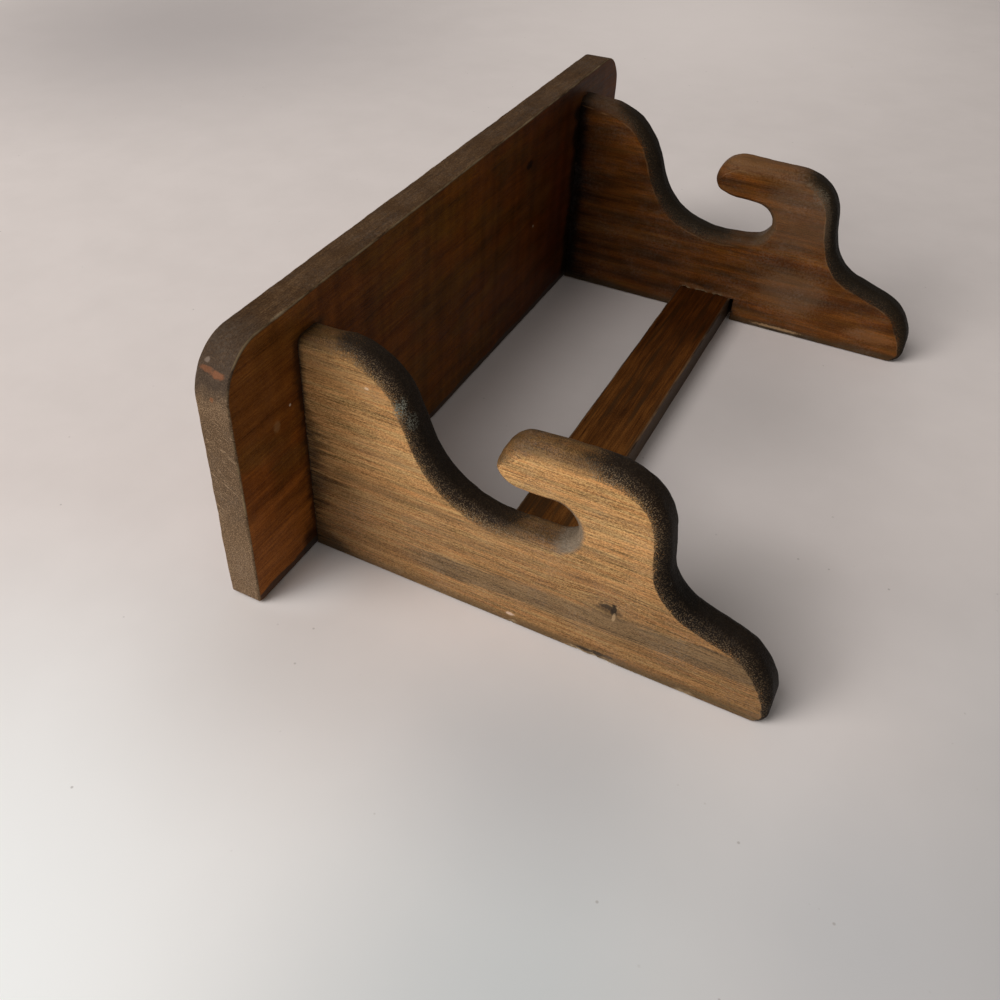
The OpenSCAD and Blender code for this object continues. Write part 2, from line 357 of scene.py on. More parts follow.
def chipCutter(name, place, size, turn, seed):
    # a ragged lump that takes a chip out of an arris
    work = bmesh.new()
    bmesh.ops.create_icosphere(work, subdivisions=3, radius=1)
    spin = Matrix.Rotation(math.radians(turn), 3, "Y")
    for v in work.verts:
        ragged = 1 + 0.45 * noise.noise(v.co * 1.7 + Vector((seed, seed, 0)))
        ragged += 0.25 * noise.noise(v.co * 4.3 + Vector((0, seed, seed)))
        v.co = spin @ Vector([c * s * ragged for c, s in zip(v.co, size)]) + Vector(place)
        v.co *= mm
    return workObject(name, work)


def smooth(obj, angle=35, weight=True):
    # soft shading over gentle turns, with flat faces kept flat
    mesh = obj.data
    mesh.polygons.foreach_set("use_smooth", [True] * len(mesh.polygons))
    work = bmesh.new()
    work.from_mesh(mesh)
    limit = math.radians(angle)
    for e in work.edges:
        e.smooth = len(e.link_faces) == 2 and e.calc_face_angle(0) < limit
    work.to_mesh(mesh)
    work.free()
    if weight:
        step = obj.modifiers.new("weights", "WEIGHTED_NORMAL")
        step.keep_sharp = True
        applied(obj)
    return obj


def setAttribute(obj, name, values):
    layer = obj.data.attributes.get(name) or obj.data.attributes.new(name, "FLOAT", "POINT")
    layer.data.foreach_set("value", np.asarray(values, np.float32))


def meshPoints(obj):
    co = np.empty(len(obj.data.vertices) * 3)
    obj.data.vertices.foreach_get("co", co)
    return co.reshape(-1, 3)


def collectionCut(obj, cutters):
    # takes all the cutters out of a board at once
    pile = bpy.data.collections.new("cutters")
    for cutter in cutters:
        pile.objects.link(cutter)
    step = obj.modifiers.new("cut", "BOOLEAN")
    step.operation = "DIFFERENCE"
    step.solver = "MANIFOLD"
    step.operand_type = "COLLECTION"
    step.collection = pile
    applied(obj)
    for cutter in cutters:
        mesh = cutter.data
        bpy.data.objects.remove(cutter)
        bpy.data.meshes.remove(mesh)
    bpy.data.collections.remove(pile)
    return obj


def stadium(half, radius, stepMm):
    # a slot outline around the origin: straight sides of the given half length, round ends
    steps = max(6, math.ceil(math.pi * radius / stepMm))
    run = [(half + radius * math.cos(a), radius * math.sin(a))
           for a in np.linspace(-math.pi / 2, math.pi / 2, steps + 1)]
    return np.array(run + [(-x, -y) for x, y in run])


def prismCutter(name, outline, place, low, high):
    # a flat outline drawn out from low to high; place maps (u, v, w) to the rack's frame
    count = len(outline)
    verts = [place(u, v, low) for u, v in outline] + [place(u, v, high) for u, v in outline]
    faces = [tuple(reversed(range(count))), tuple(range(count, 2 * count))]
    faces += [(i, (i + 1) % count, (i + 1) % count + count, i + count) for i in range(count)]
    return meshObject(name, np.array(verts) * mm, faces)


burnAndShadeStations = {
    # drop, depth and how darkly the edge is burnt there; the values are also raised on the edges turned away
    # from the lamp and lowered where the edge faces it, as painted shade
    "left": [(1, 130, 0.45), (12, 130, 0.52), (24, 129.5, 0.7), (36, 125, 0.84), (50, 116, 0.9),
             (62, 92, 1.12), (78, 70, 1.05), (88, 64, 0.92), (98, 60.5, 0.8), (110, 60, 0.6),
             (124, 60, 0.48), (134, 64, 0.45), (140, 72, 0.35), (128, 85, 0.2), (110, 85, 0.2),
             (98, 91, 0.45), (97, 100, 0.57), (108, 111, 0.57), (122, 111, 0.5), (134, 111, 0.53),
             (143, 111, 0.64), (150, 110, 0.85), (160, 106, 0.98), (176, 88, 1.05), (190, 52, 1.3),
             (215, 44, 1.12), (236, 22, 1.15), (239, 10, 1.1)],
    "right": [(1, 130, 0.4), (16, 130, 0.45), (30, 129, 0.7), (46, 120, 1.0), (60, 96, 1.1), (85, 66, 1.0),
              (100, 61, 0.75), (120, 60, 0.5), (140, 72, 0.35), (128, 85, 0.3), (98, 90, 0.3),
              (98, 104, 0.25), (108, 111, 0.1), (140, 111, 0.15), (150, 110, 0.4), (162, 106, 0.9),
              (176, 90, 1.15), (190, 52, 1.15), (215, 44, 1.1), (239, 10, 1.0)],
}
roundStations = [
    # drop, depth and how far the edge is rounded over there
    (0.5, 130, 4.0), (16, 130, 6.2), (46, 116, 6.8), (85, 66, 7.0), (100, 60, 6.6), (116, 60, 5.8),
    (128, 61, 5.4), (138, 65, 5.2), (144, 72, 4.4), (139, 80, 3.4), (118, 85, 3.0), (105, 86, 2.4),
    (98, 91, 1.6), (97, 98, 4.0), (100, 105, 6.4), (108, 111, 6.8), (150, 110, 6.6), (173, 94, 6.0),
    (190, 52, 6.4), (215, 44, 6.8), (236, 22, 6.4), (239, 8, 3.5),
]
handCut = {
    # drop, depth and how far each real bracket stands out from the shape they share
    "left": [(0.5, 130, -3.0), (10, 130, -2.2), (22, 130, 0), (60, 95, 1.2), (67, 81, 1.2), (76, 71, 0.3),
             (108, 60, 0), (124, 60, 0), (144, 72, 0.3), (126, 85, 0.5), (118, 85, 0.8), (110, 85, 0.6),
             (105, 85.5, -1.0), (101, 88, -2.2), (98, 91, -2.6), (97, 97, -3.4), (98, 101, -3.6),
             (100, 105, -3.6), (104, 109, -3.0), (108, 111, -2.0), (113, 111, -1.2), (128, 111, 0),
             (158, 109, 0.3), (172, 99, 1.1), (178, 88, 1.0), (180, 73, 0.8), (187, 56, -0.3),
             (197, 48, -1.0), (224, 38, -0.8), (230, 34, -1.5), (237, 22, -2.1), (239, 4, -2.0)],
    "right": [(0.5, 130, 1.0), (22, 130, 0.3), (30, 129, -1.2), (42, 123, -2.0), (50, 116, -2.8),
              (59, 98, -0.8), (66, 83, -1.6), (80, 68, -1.7), (93, 62, -0.8), (120, 60, -0.2),
              (138, 66, 2.8), (144, 72, 2.1), (134, 83, 0.5), (124, 85, -1.1), (110, 85, -1.8),
              (104, 86, -3.4), (98, 91, -1.6), (97, 98, 0.6), (113, 111, 1.1), (128, 111, 0.2),
              (158, 109, -0.3), (170, 101, -0.6), (176, 92, -1.5), (180, 76, -2.0), (182, 65, -0.8),
              (187, 56, 0), (239, 8, 0)],
}
bracketChips = {
    # place on the rack, half sizes, turn, seed
    "left": [((-172.3, -0.2, -44), (1.0, 1.5, 3.4), 8, 1.0), ((-172.2, 0.0, -51), (0.9, 1.9, 2.6), -12, 2.0),
             ((-172.2, -0.1, -57), (0.7, 1.0, 3.8), 4, 3.0), ((-172.4, -0.2, -8), (0.8, 1.0, 2.2), 0, 4.0),
             ((-172.2, 0.1, -96), (0.6, 0.8, 3.5), 6, 5.0),
             ((-172.0, -1.2, -134.2), (2.0, 1.6, 1.3), 20, 6.0)],
    "right": [((153.8, -0.1, -40), (0.7, 0.8, 5.0), 0, 7.0), ((153.8, 0.0, -62), (0.6, 0.9, 6.0), 3, 8.0),
              ((153.6, -16.2, 14), (1.0, 0.9, 2.4), 0, 9.0), ((153.6, -16.1, 2), (1.1, 0.7, 3.2), 5, 10.0),
              ((153.7, -16.3, -9), (0.9, 0.9, 2.2), 0, 11.0)],
}


def alongOutline(stations, loop, lengths, ease=5.0):
    # values given at places on the outline, drawn out along it
    spots = np.array([(-depth, shelf["underZ"] - drop) for drop, depth, _ in stations])
    at = lengths[np.array([np.linalg.norm(loop - s, axis=1).argmin() for s in spots])]
    order = np.argsort(at)
    values = np.interp(lengths, at[order], np.array([s[2] for s in stations])[order])
    # eased, so that there are no kinks
    gap = np.abs(lengths[:, None] - lengths[None])
    near = np.maximum(1 - gap / ease, 0)
    return (near * values[None]).sum(axis=1) / near.sum(axis=1)


def bracketBoard(side):
    b = bracket
    seed = 3.0 if side == "left" else 8.0
    sign = -1 if side == "left" else 1
    faceX = -b["outerX"] if side == "left" else b["outerX"] - b["thick"]
    points, before, after = denseLoop(bracketCorners(), b["step"], b["coarse"], b["setback"])
    loop = np.column_stack([-points[:, 1], shelf["underZ"] - points[:, 0]])
    lengths = runLengths(loop)
    wobble = ripple(lengths, 26, 0.22, seed) + ripple(lengths, 6, 0.16, seed + 3)
    wobble = wobble * np.clip(points[:, 0] / 8, 0, 1) - alongOutline(handCut[side], loop, lengths)
    loop = insetPoints(loop, wobble * before, wobble * after)
    roundness = alongOutline(roundStations, loop, lengths)
    roundness = roundness * (1 + ripple(lengths, 21, 0.14, seed + 9) + ripple(lengths, 5, 0.05, seed + 5))
    roundness = np.clip(roundness, b["arris"], b["roundMost"])
    radiusIn = b["arris"] + (roundness - b["arris"]) * before
    radiusOut = b["arris"] + (roundness - b["arris"]) * after
    verts, faces = boardShell(loop, radiusIn, radiusOut, b["thick"], b["cell"], math.radians(b["crease"]))
    placed = np.column_stack([faceX + verts[:, 2], verts[:, 0], verts[:, 1]])
    obj = meshObject(side + "BracketBoard", placed * mm, faces)
    roughen(obj, loop, after > 0.3, seed)
    obj = collectionCut(obj, bracketCutters(side, sign))
    smooth(obj, b["smoothAngle"])
    co = meshPoints(obj) / mm
    flat = co[:, 1:3]
    away, which = loopDistance(flat, loop, after > 0.3)
    arrisAway = np.maximum(np.minimum(co[:, 0] - faceX, faceX + b["thick"] - co[:, 0]), 0)
    anyAway, _ = loopDistance(flat, loop)
    # how darkly each edge is burnt, with painted shade on the edges turned from the lamp
    burn = alongOutline(burnAndShadeStations[side], loop, lengths)[which]
    setAttribute(obj, "share", np.clip(1 - away / radiusOut[which], -3, 1))
    setAttribute(obj, "arrisAway", np.maximum(arrisAway, anyAway))
    setAttribute(obj, "burn", burn)
    # the slot's round end was sanded bare
    slotFloor = np.array([-b["web"] - b["slotWidth"] / 2, shelf["underZ"] - b["slotEdge"]])
    ends = np.linalg.norm(loop[which] - slotFloor, axis=1)
    drop = shelf["underZ"] - loop[which][:, 1]
    sandedBy = np.clip(2.4 - ends / 8, 0, 1) * np.clip((drop - 126) / 6, 0, 1)
    setAttribute(obj, "sanded", np.where(ends < 18, sandedBy, 0))
    chips = np.zeros(len(co))
    for place, size, _, _ in bracketChips[side]:
        off = (co - np.array(place)) / np.array(size)
        chips = np.maximum(chips, np.linalg.norm(off, axis=1) < 1.35)
    setAttribute(obj, "chipped", chips * 0.85)
    return obj


def roughen(obj, loop, shaped, seed):
    # the sawn and sanded edge isn't quite even
    mesh = obj.data
    co = meshPoints(obj) / mm
    normals = np.empty(len(co) * 3)
    mesh.vertices.foreach_get("normal", normals)
    normals = normals.reshape(-1, 3)
    away, _ = loopDistance(co[:, 1:3], loop, shaped)
    reach = 4.5
    for i in np.nonzero(away < reach)[0]:
        p = Vector(co[i])
        amount = 0.13 * noise.noise(p * 0.16 + Vector((seed, 0, 0)))
        amount += 0.1 * noise.noise(p * 0.45 + Vector((0, seed, 0)))
        co[i] += normals[i] * amount * (1 - away[i] / reach)
    mesh.vertices.foreach_set("co", (co * mm).ravel())
    mesh.update()


def bracketCutters(side, sign):
    b, r, h, s = bracket, rail, hanger, screws
    inner = b["outerX"] - b["thick"]
    xs = sorted([sign * (inner - 2), sign * (inner + r["housing"])])
    cutters = [boxCutter("housing", (xs[0], -r["thick"] - 0.1, -r["height"] / 2 - r["slack"]),
                         (xs[1], 3, r["height"] / 2 + 0.1), 0.35, 2.0 + sign),
               prismCutter("recess", stadium((h["length"] - h["width"]) / 2, h["width"] / 2 + h["gap"], 0.8),
                           lambda u, v, w: (sign * bracketX + v, w, plateZ + u), -h["thick"], 1),
               boxCutter("pocket", (sign * bracketX - 5, -h["thick"] - h["pocket"], plateZ - 9.5),
                         (sign * bracketX + 5, -1, plateZ + 9.5)),
               screwCutter("railHole", (sign * r["screwX"], 0, 0), (0, -1, 0), s["rail"]["shank"],
                           s["rail"]["length"]), ]
    for out in (s["shelf"]["rearOut"], s["shelf"]["rearOut"] + s["shelf"]["gap"]):
        cutters.append(screwCutter("shelfHole", (sign * bracketX, -out, shelf["underZ"] + shelf["thick"]),
                                   (0, 0, -1), s["shelf"]["shank"], s["shelf"]["length"]))
    for z in (-h["screwGap"] / 2, h["screwGap"] / 2):
        cutters.append(screwCutter("plateHole", (sign * bracketX, 0, plateZ + z), (0, -1, 0),
                                   s["plate"]["shank"], s["plate"]["length"]))
    return cutters + [chipCutter("chip", *chip) for chip in bracketChips[side]]


leftBracket = bracketBoard("left")
rightBracket = bracketBoard("right")
print("brackets", len(leftBracket.data.polygons), len(rightBracket.data.polygons))


shelfChips = [
    ((-204, 0.3, 105), (2.6, 1.3, 1.1), 0, 1.5), ((-190, 0.4, 104.9), (3.4, 1.0, 0.9), 0, 2.5),
    ((-214, 0.3, 104.8), (2.2, 1.0, 1.0), 0, 3.5), ((-179, 0.5, 104.9), (2.2, 1.2, 0.8), 0, 4.5),
    ((-222.2, -143.2, 119), (0.8, 0.8, 2.0), 0, 5.5), ((60, 0.4, 123.1), (3.2, 1.1, 0.9), 0, 6.5),
    ((-120, -144.2, 104.9), (3.0, 0.6, 0.6), 0, 7.5), ((28, -144.2, 104.9), (2.4, 0.6, 0.5), 0, 8.5),
]


def plainBoard(name, corners, thick, size, place, rippleMm):
    # a straight board with softened arrises
    loop, _, _ = denseLoop(corners, size["step"], None, 3.2)
    lengths = runLengths(loop)
    seed = size.get("seed", 1.0)
    loop = loop + inwardNormals(loop) * (ripple(lengths, 40, rippleMm, seed) + ripple(lengths, 7,
            rippleMm * 0.4, seed + 2) + rippleMm * 0.5)[:, None]
    radius = size["arris"] * (1 + ripple(lengths, 15, 0.5, seed + 4) + ripple(lengths, 4, 0.25, seed + 6))
    verts, faces = boardShell(loop, radius, radius, thick, size["cell"])
    return meshObject(name, place(verts) * mm, faces), loop


def boardAttributes(obj, loop, flat, level, thick):
    away, _ = loopDistance(flat, loop)
    setAttribute(obj, "inset", away)
    setAttribute(obj, "arrisAway", np.maximum(away, np.maximum(np.minimum(level, thick - level), 0)))


def shelfBoard():
    half, d = shelf["length"] / 2, shelf["depth"]
    worn = shelf["wornCorner"]
    corners = [(-half, 0, worn, 1, 1), (-half, -d, shelf["cornerRadius"], 1, 1),
               (half, -d, shelf["cornerRadius"], 1, 1), (half, 0, worn, 1, 1)]
    obj, loop = plainBoard("shelfTop", corners, shelf["thick"], shelf,
                           lambda v: np.column_stack([v[:, 0], v[:, 1], shelf["underZ"] + v[:, 2]]), 0.2)
    cutters = []
    s = screws["shelf"]
    for x in (-bracketX, bracketX):
        for out in (s["rearOut"], s["rearOut"] + s["gap"]):
            cutters.append(screwCutter("hole", (x, -out, shelf["underZ"] + shelf["thick"]), (0, 0, -1),
                                       s["shank"], s["length"]))
    cutters += [chipCutter("chip", *chip) for chip in shelfChips]
    obj = collectionCut(obj, cutters)
    smooth(obj)
    co = meshPoints(obj) / mm
    boardAttributes(obj, loop, co[:, :2], co[:, 2] - shelf["underZ"], shelf["thick"])
    return obj


def backRail():
    long, high, thick = rail["length"] / 2, rail["height"] / 2, rail["thick"]
    corners = [(-high, -long, 0, 1, 1), (high, -long, 0, 1, 1), (high, long, 0, 1, 1), (-high, long, 0, 1, 1)]
    obj, loop = plainBoard("tieRail", corners, thick, rail,
                           lambda v: np.column_stack([v[:, 1], v[:, 2] - thick, v[:, 0]]), 0.12)
    cutters = [screwCutter("hole", (x, 0, 0), (0, -1, 0), screws["rail"]["shank"], screws["rail"]["length"])
               for x in (-rail["screwX"], rail["screwX"])]
    obj = collectionCut(obj, cutters)
    smooth(obj)
    co = meshPoints(obj) / mm
    boardAttributes(obj, loop, co[:, [2, 0]], co[:, 1] + thick, thick)
    return obj


shelfTop = shelfBoard()
tieRail = backRail()
print("shelf and rail", len(shelfTop.data.polygons), len(tieRail.data.polygons))


def hangerPlate(name, sign):
    h = hanger
    loop = stadium((h["length"] - h["width"]) / 2, h["width"] / 2, h["step"])
    radius = np.full(len(loop), h["arris"])
    verts, faces = boardShell(loop, radius, radius, h["thick"], h["cell"])
    place = np.column_stack([sign * bracketX + verts[:, 1], verts[:, 2] - h["thick"], plateZ + verts[:, 0]])
    obj = meshObject(name, place * mm, faces)
    low = -h["neckLength"] / 2
    centre = Vector((sign * bracketX, 1, plateZ + low)) * mm
    top = Vector((sign * bracketX, 1, plateZ - low)) * mm
    entry, neck = h["entry"] / 2 * mm, h["neckWidth"] / 2 * mm
    cutters = [
        lathe("entry", [(0, 0), (entry, 0), (entry, 5 * mm), (0, 5 * mm)], centre, (0, -1, 0), 48),
        lathe("neck", [(0, 0), (neck, 0), (neck, 5 * mm), (0, 5 * mm)], top, (0, -1, 0), 32),
        boxCutter("slot", (sign * bracketX - h["neckWidth"] / 2, -5, plateZ + low),
                  (sign * bracketX + h["neckWidth"] / 2, 1, plateZ - low)),
    ]
    for z in (-h["screwGap"] / 2, h["screwGap"] / 2):
        cutters.append(screwCutter("hole", (sign * bracketX, 0, plateZ + z), (0, -1, 0),
                                   screws["plate"]["shank"], screws["plate"]["length"]))
    obj = collectionCut(obj, cutters)
    return smooth(obj, 30)


leftPlate = hangerPlate("leftKeyholePlate", -1)
rightPlate = hangerPlate("rightKeyholePlate", 1)
print("hanger plates", len(leftPlate.data.polygons))


class Value:
    # the output of a node; arithmetic with it makes math nodes
    def __init__(self, net, socket):
        self.net, self.socket = net, socket

    def __abs__(self):
        return self.net.math("ABSOLUTE", self)

    def __add__(self, other):
        return self.net.math("ADD", self, other)

    def __radd__(self, other):
        return self.net.math("ADD", other, self)

    def __sub__(self, other):
        return self.net.math("SUBTRACT", self, other)

    def __rsub__(self, other):
        return self.net.math("SUBTRACT", other, self)

    def __mul__(self, other):
        return self.net.math("MULTIPLY", self, other)

    def __rmul__(self, other):
        return self.net.math("MULTIPLY", other, self)

    def __truediv__(self, other):
        return self.net.math("DIVIDE", self, other)

    def __rtruediv__(self, other):
        return self.net.math("DIVIDE", other, self)


class Net:
    # short calls for building a node tree
    def __init__(self, tree):
        self.tree = tree

    def node(self, kind, **settings):
        made = self.tree.nodes.new(kind)
        for key, value in settings.items():
            setattr(made, key, value)
        return made

    def wire(self, value, socket):
        value = value.socket if isinstance(value, Value) else value
        if isinstance(value, bpy.types.NodeSocket):
            self.tree.links.new(value, socket)
        elif value is not None:
            socket.default_value = value

    def outputs(self, node):
        return {socket.name: Value(self, socket) for socket in node.outputs}

    def call(self, kind, inputs, out=0, **settings):
        made = self.node(kind, **settings)
        for key, value in inputs.items():
            self.wire(value, made.inputs[key])
        return Value(self, made.outputs[out])

    def math(self, operation, a, b=None, c=None, clamp=False):
        return self.call("ShaderNodeMath", {0: a, 1: b, 2: c}, operation=operation, use_clamp=clamp)

    def vector(self, operation, a, b=None, scale=None, out=0):
        return self.call("ShaderNodeVectorMath", {0: a, 1: b, 3: scale}, out, operation=operation)

    def combine(self, x, y, z):
        return self.call("ShaderNodeCombineXYZ", {0: x, 1: y, 2: z})

    def split(self, vector):
        made = self.node("ShaderNodeSeparateXYZ")
        self.wire(vector, made.inputs[0])
        return [Value(self, socket) for socket in made.outputs]

    def stretched(self, vector, lengths):
        return self.vector("MULTIPLY", vector, tuple(1 / v for v in lengths))

    def noise(self, vector, lengths, detail, roughness, out=0):
        # soft noise, with features about as long as the lengths
        if lengths:
            vector = self.stretched(vector, lengths)
        return self.call("ShaderNodeTexNoise", {"Vector": vector, "Scale": 1.0, "Detail": float(detail),
                                                "Roughness": float(roughness)}, out)

    def cells(self, vector, length, out=0):
        return self.call("ShaderNodeTexVoronoi",
                         {"Vector": self.stretched(vector, (length,) * 3), "Scale": 1.0}, out, feature="F1")

    def remap(self, value, low, high, toLow=0.0, toHigh=1.0, smooth=False):
        return self.call("ShaderNodeMapRange", {0: value, 1: low, 2: high, 3: toLow, 4: toHigh},
                         interpolation_type="SMOOTHSTEP" if smooth else "LINEAR")

    def mix(self, share, one, two, blend="MIX"):
        inputs = {0: share, 6: one, 7: two}
        inputs = {k: (*v, 1) if isinstance(v, (tuple, list)) else v for k, v in inputs.items()}
        return self.call("ShaderNodeMix", inputs, 2, data_type="RGBA", blend_type=blend)

    def tint(self, one, two):
        return self.mix(1.0, one, two, "MULTIPLY")

    def ramp(self, value, stops):
        made = self.node("ShaderNodeValToRGB")
        band = made.color_ramp.elements
        while len(band) < len(stops):
            band.new(0.5)
        for item, (spotAt, colour) in zip(band, stops):
            item.position = spotAt
            item.color = (*colour, 1)
        self.wire(value, made.inputs[0])
        return Value(self, made.outputs[0])

    def attribute(self, name):
        return self.call("ShaderNodeAttribute", {}, "Fac", attribute_name=name)

    def group(self, tree, inputs):
        made = self.node("ShaderNodeGroup")
        made.node_tree = tree
        for key, value in inputs.items():
            self.wire(value, made.inputs[key])
        return self.outputs(made)

    def bump(self, height, distance, strength):
        return self.call("ShaderNodeBump", {"Height": height, "Distance": distance, "Strength": strength})


def newGroup(name, ins, outs, family="ShaderNodeTree"):
    # an empty node group, with its inputs (name, kind, value) and outputs (name, kind)
    tree = bpy.data.node_groups.new(name, family)
    for label, kind, value in ins:
        socket = tree.interface.new_socket(name=label, in_out="INPUT", socket_type="NodeSocket" + kind)
        if value is not None:
            socket.default_value = value
    for label, kind in outs:
        tree.interface.new_socket(name=label, in_out="OUTPUT", socket_type="NodeSocket" + kind)
    net = Net(tree)
    return net, net.outputs(net.node("NodeGroupInput")), net.node("NodeGroupOutput").inputs


def screwTree():
    # one countersunk screw for each point of the mesh it is put on
    net, given, out = newGroup("countersunkScrews", [
        ("Geometry", "Geometry", None), ("Shank Radius", "Float", 2.0), ("Length", "Float", 50.0),
        ("Head Radius", "Float", 4.0), ("Rim", "Float", 0.4), ("Thread Pitch", "Float", 1.9),
        ("Thread Height", "Float", 0.35), ("Recess Width", "Float", 0.9), ("Recess Length", "Float", 4.4),
        ("Recess Depth", "Float", 1.8), ("Head Direction", "Vector", (0, 0, 1)), ("Seed", "Int", 1),
        ("Material", "Material", None)], [("Geometry", "Geometry")], "GeometryNodeTree")
    shank, length, head, rim = (given[k] for k in ("Shank Radius", "Length", "Head Radius", "Rim"))
    pitch, ridge = given["Thread Pitch"], given["Thread Height"]
    coneHigh = head - shank
    neckZ = (rim + coneHigh) * -1.0
    core = shank - ridge
    tipLong = shank * 3.0
    endZ = length * -1.0
    coreLong = length - (rim + coneHigh) - tipLong

    def lifted(shape, z):
        return net.call("GeometryNodeTransform", {"Geometry": shape, "Translation": net.combine(0.0, 0.0, z)})

    def cone(sides, top, bottom, depth, z):
        shape = net.call("GeometryNodeMeshCone",
                         {"Vertices": sides, "Radius Top": top, "Radius Bottom": bottom, "Depth": depth})
        return lifted(shape, z)

    # the parts are fused into one body
    rimDisc = cone(40, head, head, rim, rim * -1.0)
    headCone = cone(40, head, shank, coneHigh, neckZ)
    plainNeck = cone(24, shank - 0.01, core, pitch * 1.5, neckZ - pitch * 1.5)
    coreRod = cone(24, core, core, coreLong, endZ + tipLong)
    point = cone(24, core, 0.0, tipLong, endZ)
    fused = net.node("GeometryNodeMeshBoolean", operation="UNION", solver="EXACT")
    for shape in (rimDisc, headCone, plainNeck, coreRod, point):
        net.wire(lifted(shape, 0.0), fused.inputs["Mesh 2"])
    bars = []
    for turn in (0.0, math.pi / 2):
        bar = net.call("GeometryNodeMeshCube",
                       {"Size": net.combine(given["Recess Length"], given["Recess Width"],
                                            given["Recess Depth"] * 2.0)})
        bars.append(net.call("GeometryNodeTransform", {"Geometry": bar, "Rotation": (0, 0, turn)}))
    crossed = net.node("GeometryNodeMeshBoolean", operation="DIFFERENCE", solver="EXACT")
    net.wire(fused.outputs[0], crossed.inputs["Mesh 1"])
    for bar in bars:
        net.wire(bar, crossed.inputs["Mesh 2"])
    # the thread winds round the core as a low ridge
    threadLong = coreLong - pitch * 1.2
    turns = threadLong / pitch
    spiral = net.call("GeometryNodeCurveSpiral", {"Resolution": 20, "Rotations": turns, "Start Radius": core,
                                                  "End Radius": core, "Height": threadLong})
    profile = net.call("GeometryNodeCurvePrimitiveCircle", {"Resolution": 4, "Radius": ridge})
    wound = net.call("GeometryNodeCurveToMesh",
                     {"Curve": spiral, "Profile Curve": profile, "Fill Caps": True})
    wound = lifted(wound, endZ + tipLong)
    screw = net.node("GeometryNodeJoinGeometry")
    net.wire(wound, screw.inputs[0])
    net.wire(crossed.outputs[0], screw.inputs[0])
    scaled = net.call("GeometryNodeTransform", {"Geometry": screw.outputs[0], "Scale": (mm, mm, mm)})
    aimed = net.call("FunctionNodeAlignRotationToVector", {"Vector": given["Head Direction"]}, axis="Z")
    # every head stops at its own angle
    spin = net.node("FunctionNodeRandomValue", data_type="FLOAT")
    spin.inputs[2].default_value = 0.0
    spin.inputs[3].default_value = math.pi / 2
    net.wire(given["Seed"], spin.inputs["Seed"])
    turned = (net.call("FunctionNodeRotateRotation",
                       {"Rotation": aimed, "Rotate By": net.call("FunctionNodeAxisAngleToRotation",
            {"Axis": (0, 0, 1), "Angle": spin.outputs[1]})}, rotation_space="LOCAL"))
    points = net.call("GeometryNodeMeshToPoints", {"Mesh": given["Geometry"]})
    placed = net.call("GeometryNodeInstanceOnPoints",
                      {"Points": points, "Instance": scaled, "Rotation": turned})
    real = net.call("GeometryNodeRealizeInstances", {"Geometry": placed})
    done = net.call("GeometryNodeSetMaterial", {"Geometry": real, "Material": given["Material"]})
    net.wire(done, out[0])
    return net.tree


screwNodes = screwTree()


def screwSet(name, kind, places, direction, seed, material):
    s = screws[kind]
    obj = meshObject(name, np.array(places) * mm, [])
    step = obj.modifiers.new("screws", "NODES")
    step.node_group = screwNodes
    d = s["shank"]
    values = {
        "Shank Radius": d / 2, "Length": float(s["length"]), "Head Radius": d, "Rim": 0.1 * d,
        "Thread Pitch": s["pitch"], "Thread Height": 0.09 * d, "Recess Width": 0.22 * d,
        "Recess Length": 1.1 * d, "Recess Depth": 0.45 * d, "Head Direction": direction, "Seed": seed,
        "Material": material,
    }
    for item in screwNodes.interface.items_tree:
        if item.in_out == "INPUT" and item.name in values:
            step[item.identifier] = values[item.name]
    applied(obj)
    return smooth(obj, 30, False)


def pineGrainGroup():
    # solid softwood: growth rings round a pith that lies outside the board, and fibres along the first axis
    net, given, out = newGroup("pineGrain", [
        ("Vector", "Vector", None), ("Ring Gap", "Float", 2.8), ("Pith Across", "Float", 0.0),
        ("Pith Deep", "Float", -60.0), ("Wander", "Float", 3.0), ("Seed", "Float", 0.0)], [
        ("Rings", "Float"), ("Tone", "Float"), ("Fibre", "Float"), ("Fine", "Float"), ("Dashes", "Float")])
    seed = net.combine(given["Seed"] * 37.0, given["Seed"], given["Seed"])
    place = net.vector("ADD", given["Vector"], seed)
    drift = net.noise(place, (190, 34, 34), 2, 0.5, out=1)
    drift = net.vector("SUBTRACT", drift, (0.5, 0.5, 0.5))
    drift = net.vector("SCALE", drift, scale=given["Wander"] * 2.0)
    moved = net.split(net.vector("ADD", given["Vector"], drift))
    across = moved[1] - given["Pith Across"]
    deep = moved[2] - given["Pith Deep"]
    reach = net.math("SQRT", across * across + deep * deep)
    gapNoise = net.noise(place, (400, 14, 14), 1, 0.5)
    count = reach / given["Ring Gap"] + gapNoise * 1.6
    part = net.math("FRACT", count)
    late = net.remap(part, 0.35, 0.9, smooth=True) * net.remap(part, 0.93, 1.0, 1, 0)
    whole = net.math("FLOOR", count)
    strength = net.call("ShaderNodeTexWhiteNoise", {"W": whole}, noise_dimensions="1D")
    strength = net.remap(strength, 0, 1, 0.35, 1)
    fade = net.remap(net.noise(place, (90, 9, 9), 2, 0.5), 0.35, 0.65, 0.25, 1)
    net.wire(late * strength * fade, out["Rings"])
    tone = net.noise(place, (120, 7, 14), 3, 0.55)
    net.wire(net.remap(tone, 0.3, 0.7), out["Tone"])
    streaks = net.noise(place, (40, 0.85, 1.0), 1, 0.5)
    threads = net.noise(place, (16, 0.42, 0.5), 0, 0.5)
    fibre = streaks * 0.5 + threads * 0.5
    net.wire(net.remap(fibre, 0.36, 0.64), out["Fibre"])
    speckle = net.noise(place, (0.9, 0.5, 0.6), 1, 0.7)
    net.wire(net.remap(speckle, 0.34, 0.66), out["Fine"])
    dashes = net.noise(place, (13, 0.6, 0.8), 1, 0.5)
    sparse = net.remap(net.noise(place, (34, 9, 12), 1, 0.5), 0.4, 0.6)
    net.wire(net.remap(dashes, 0.62, 0.72) * sparse, out["Dashes"])
    return net.tree


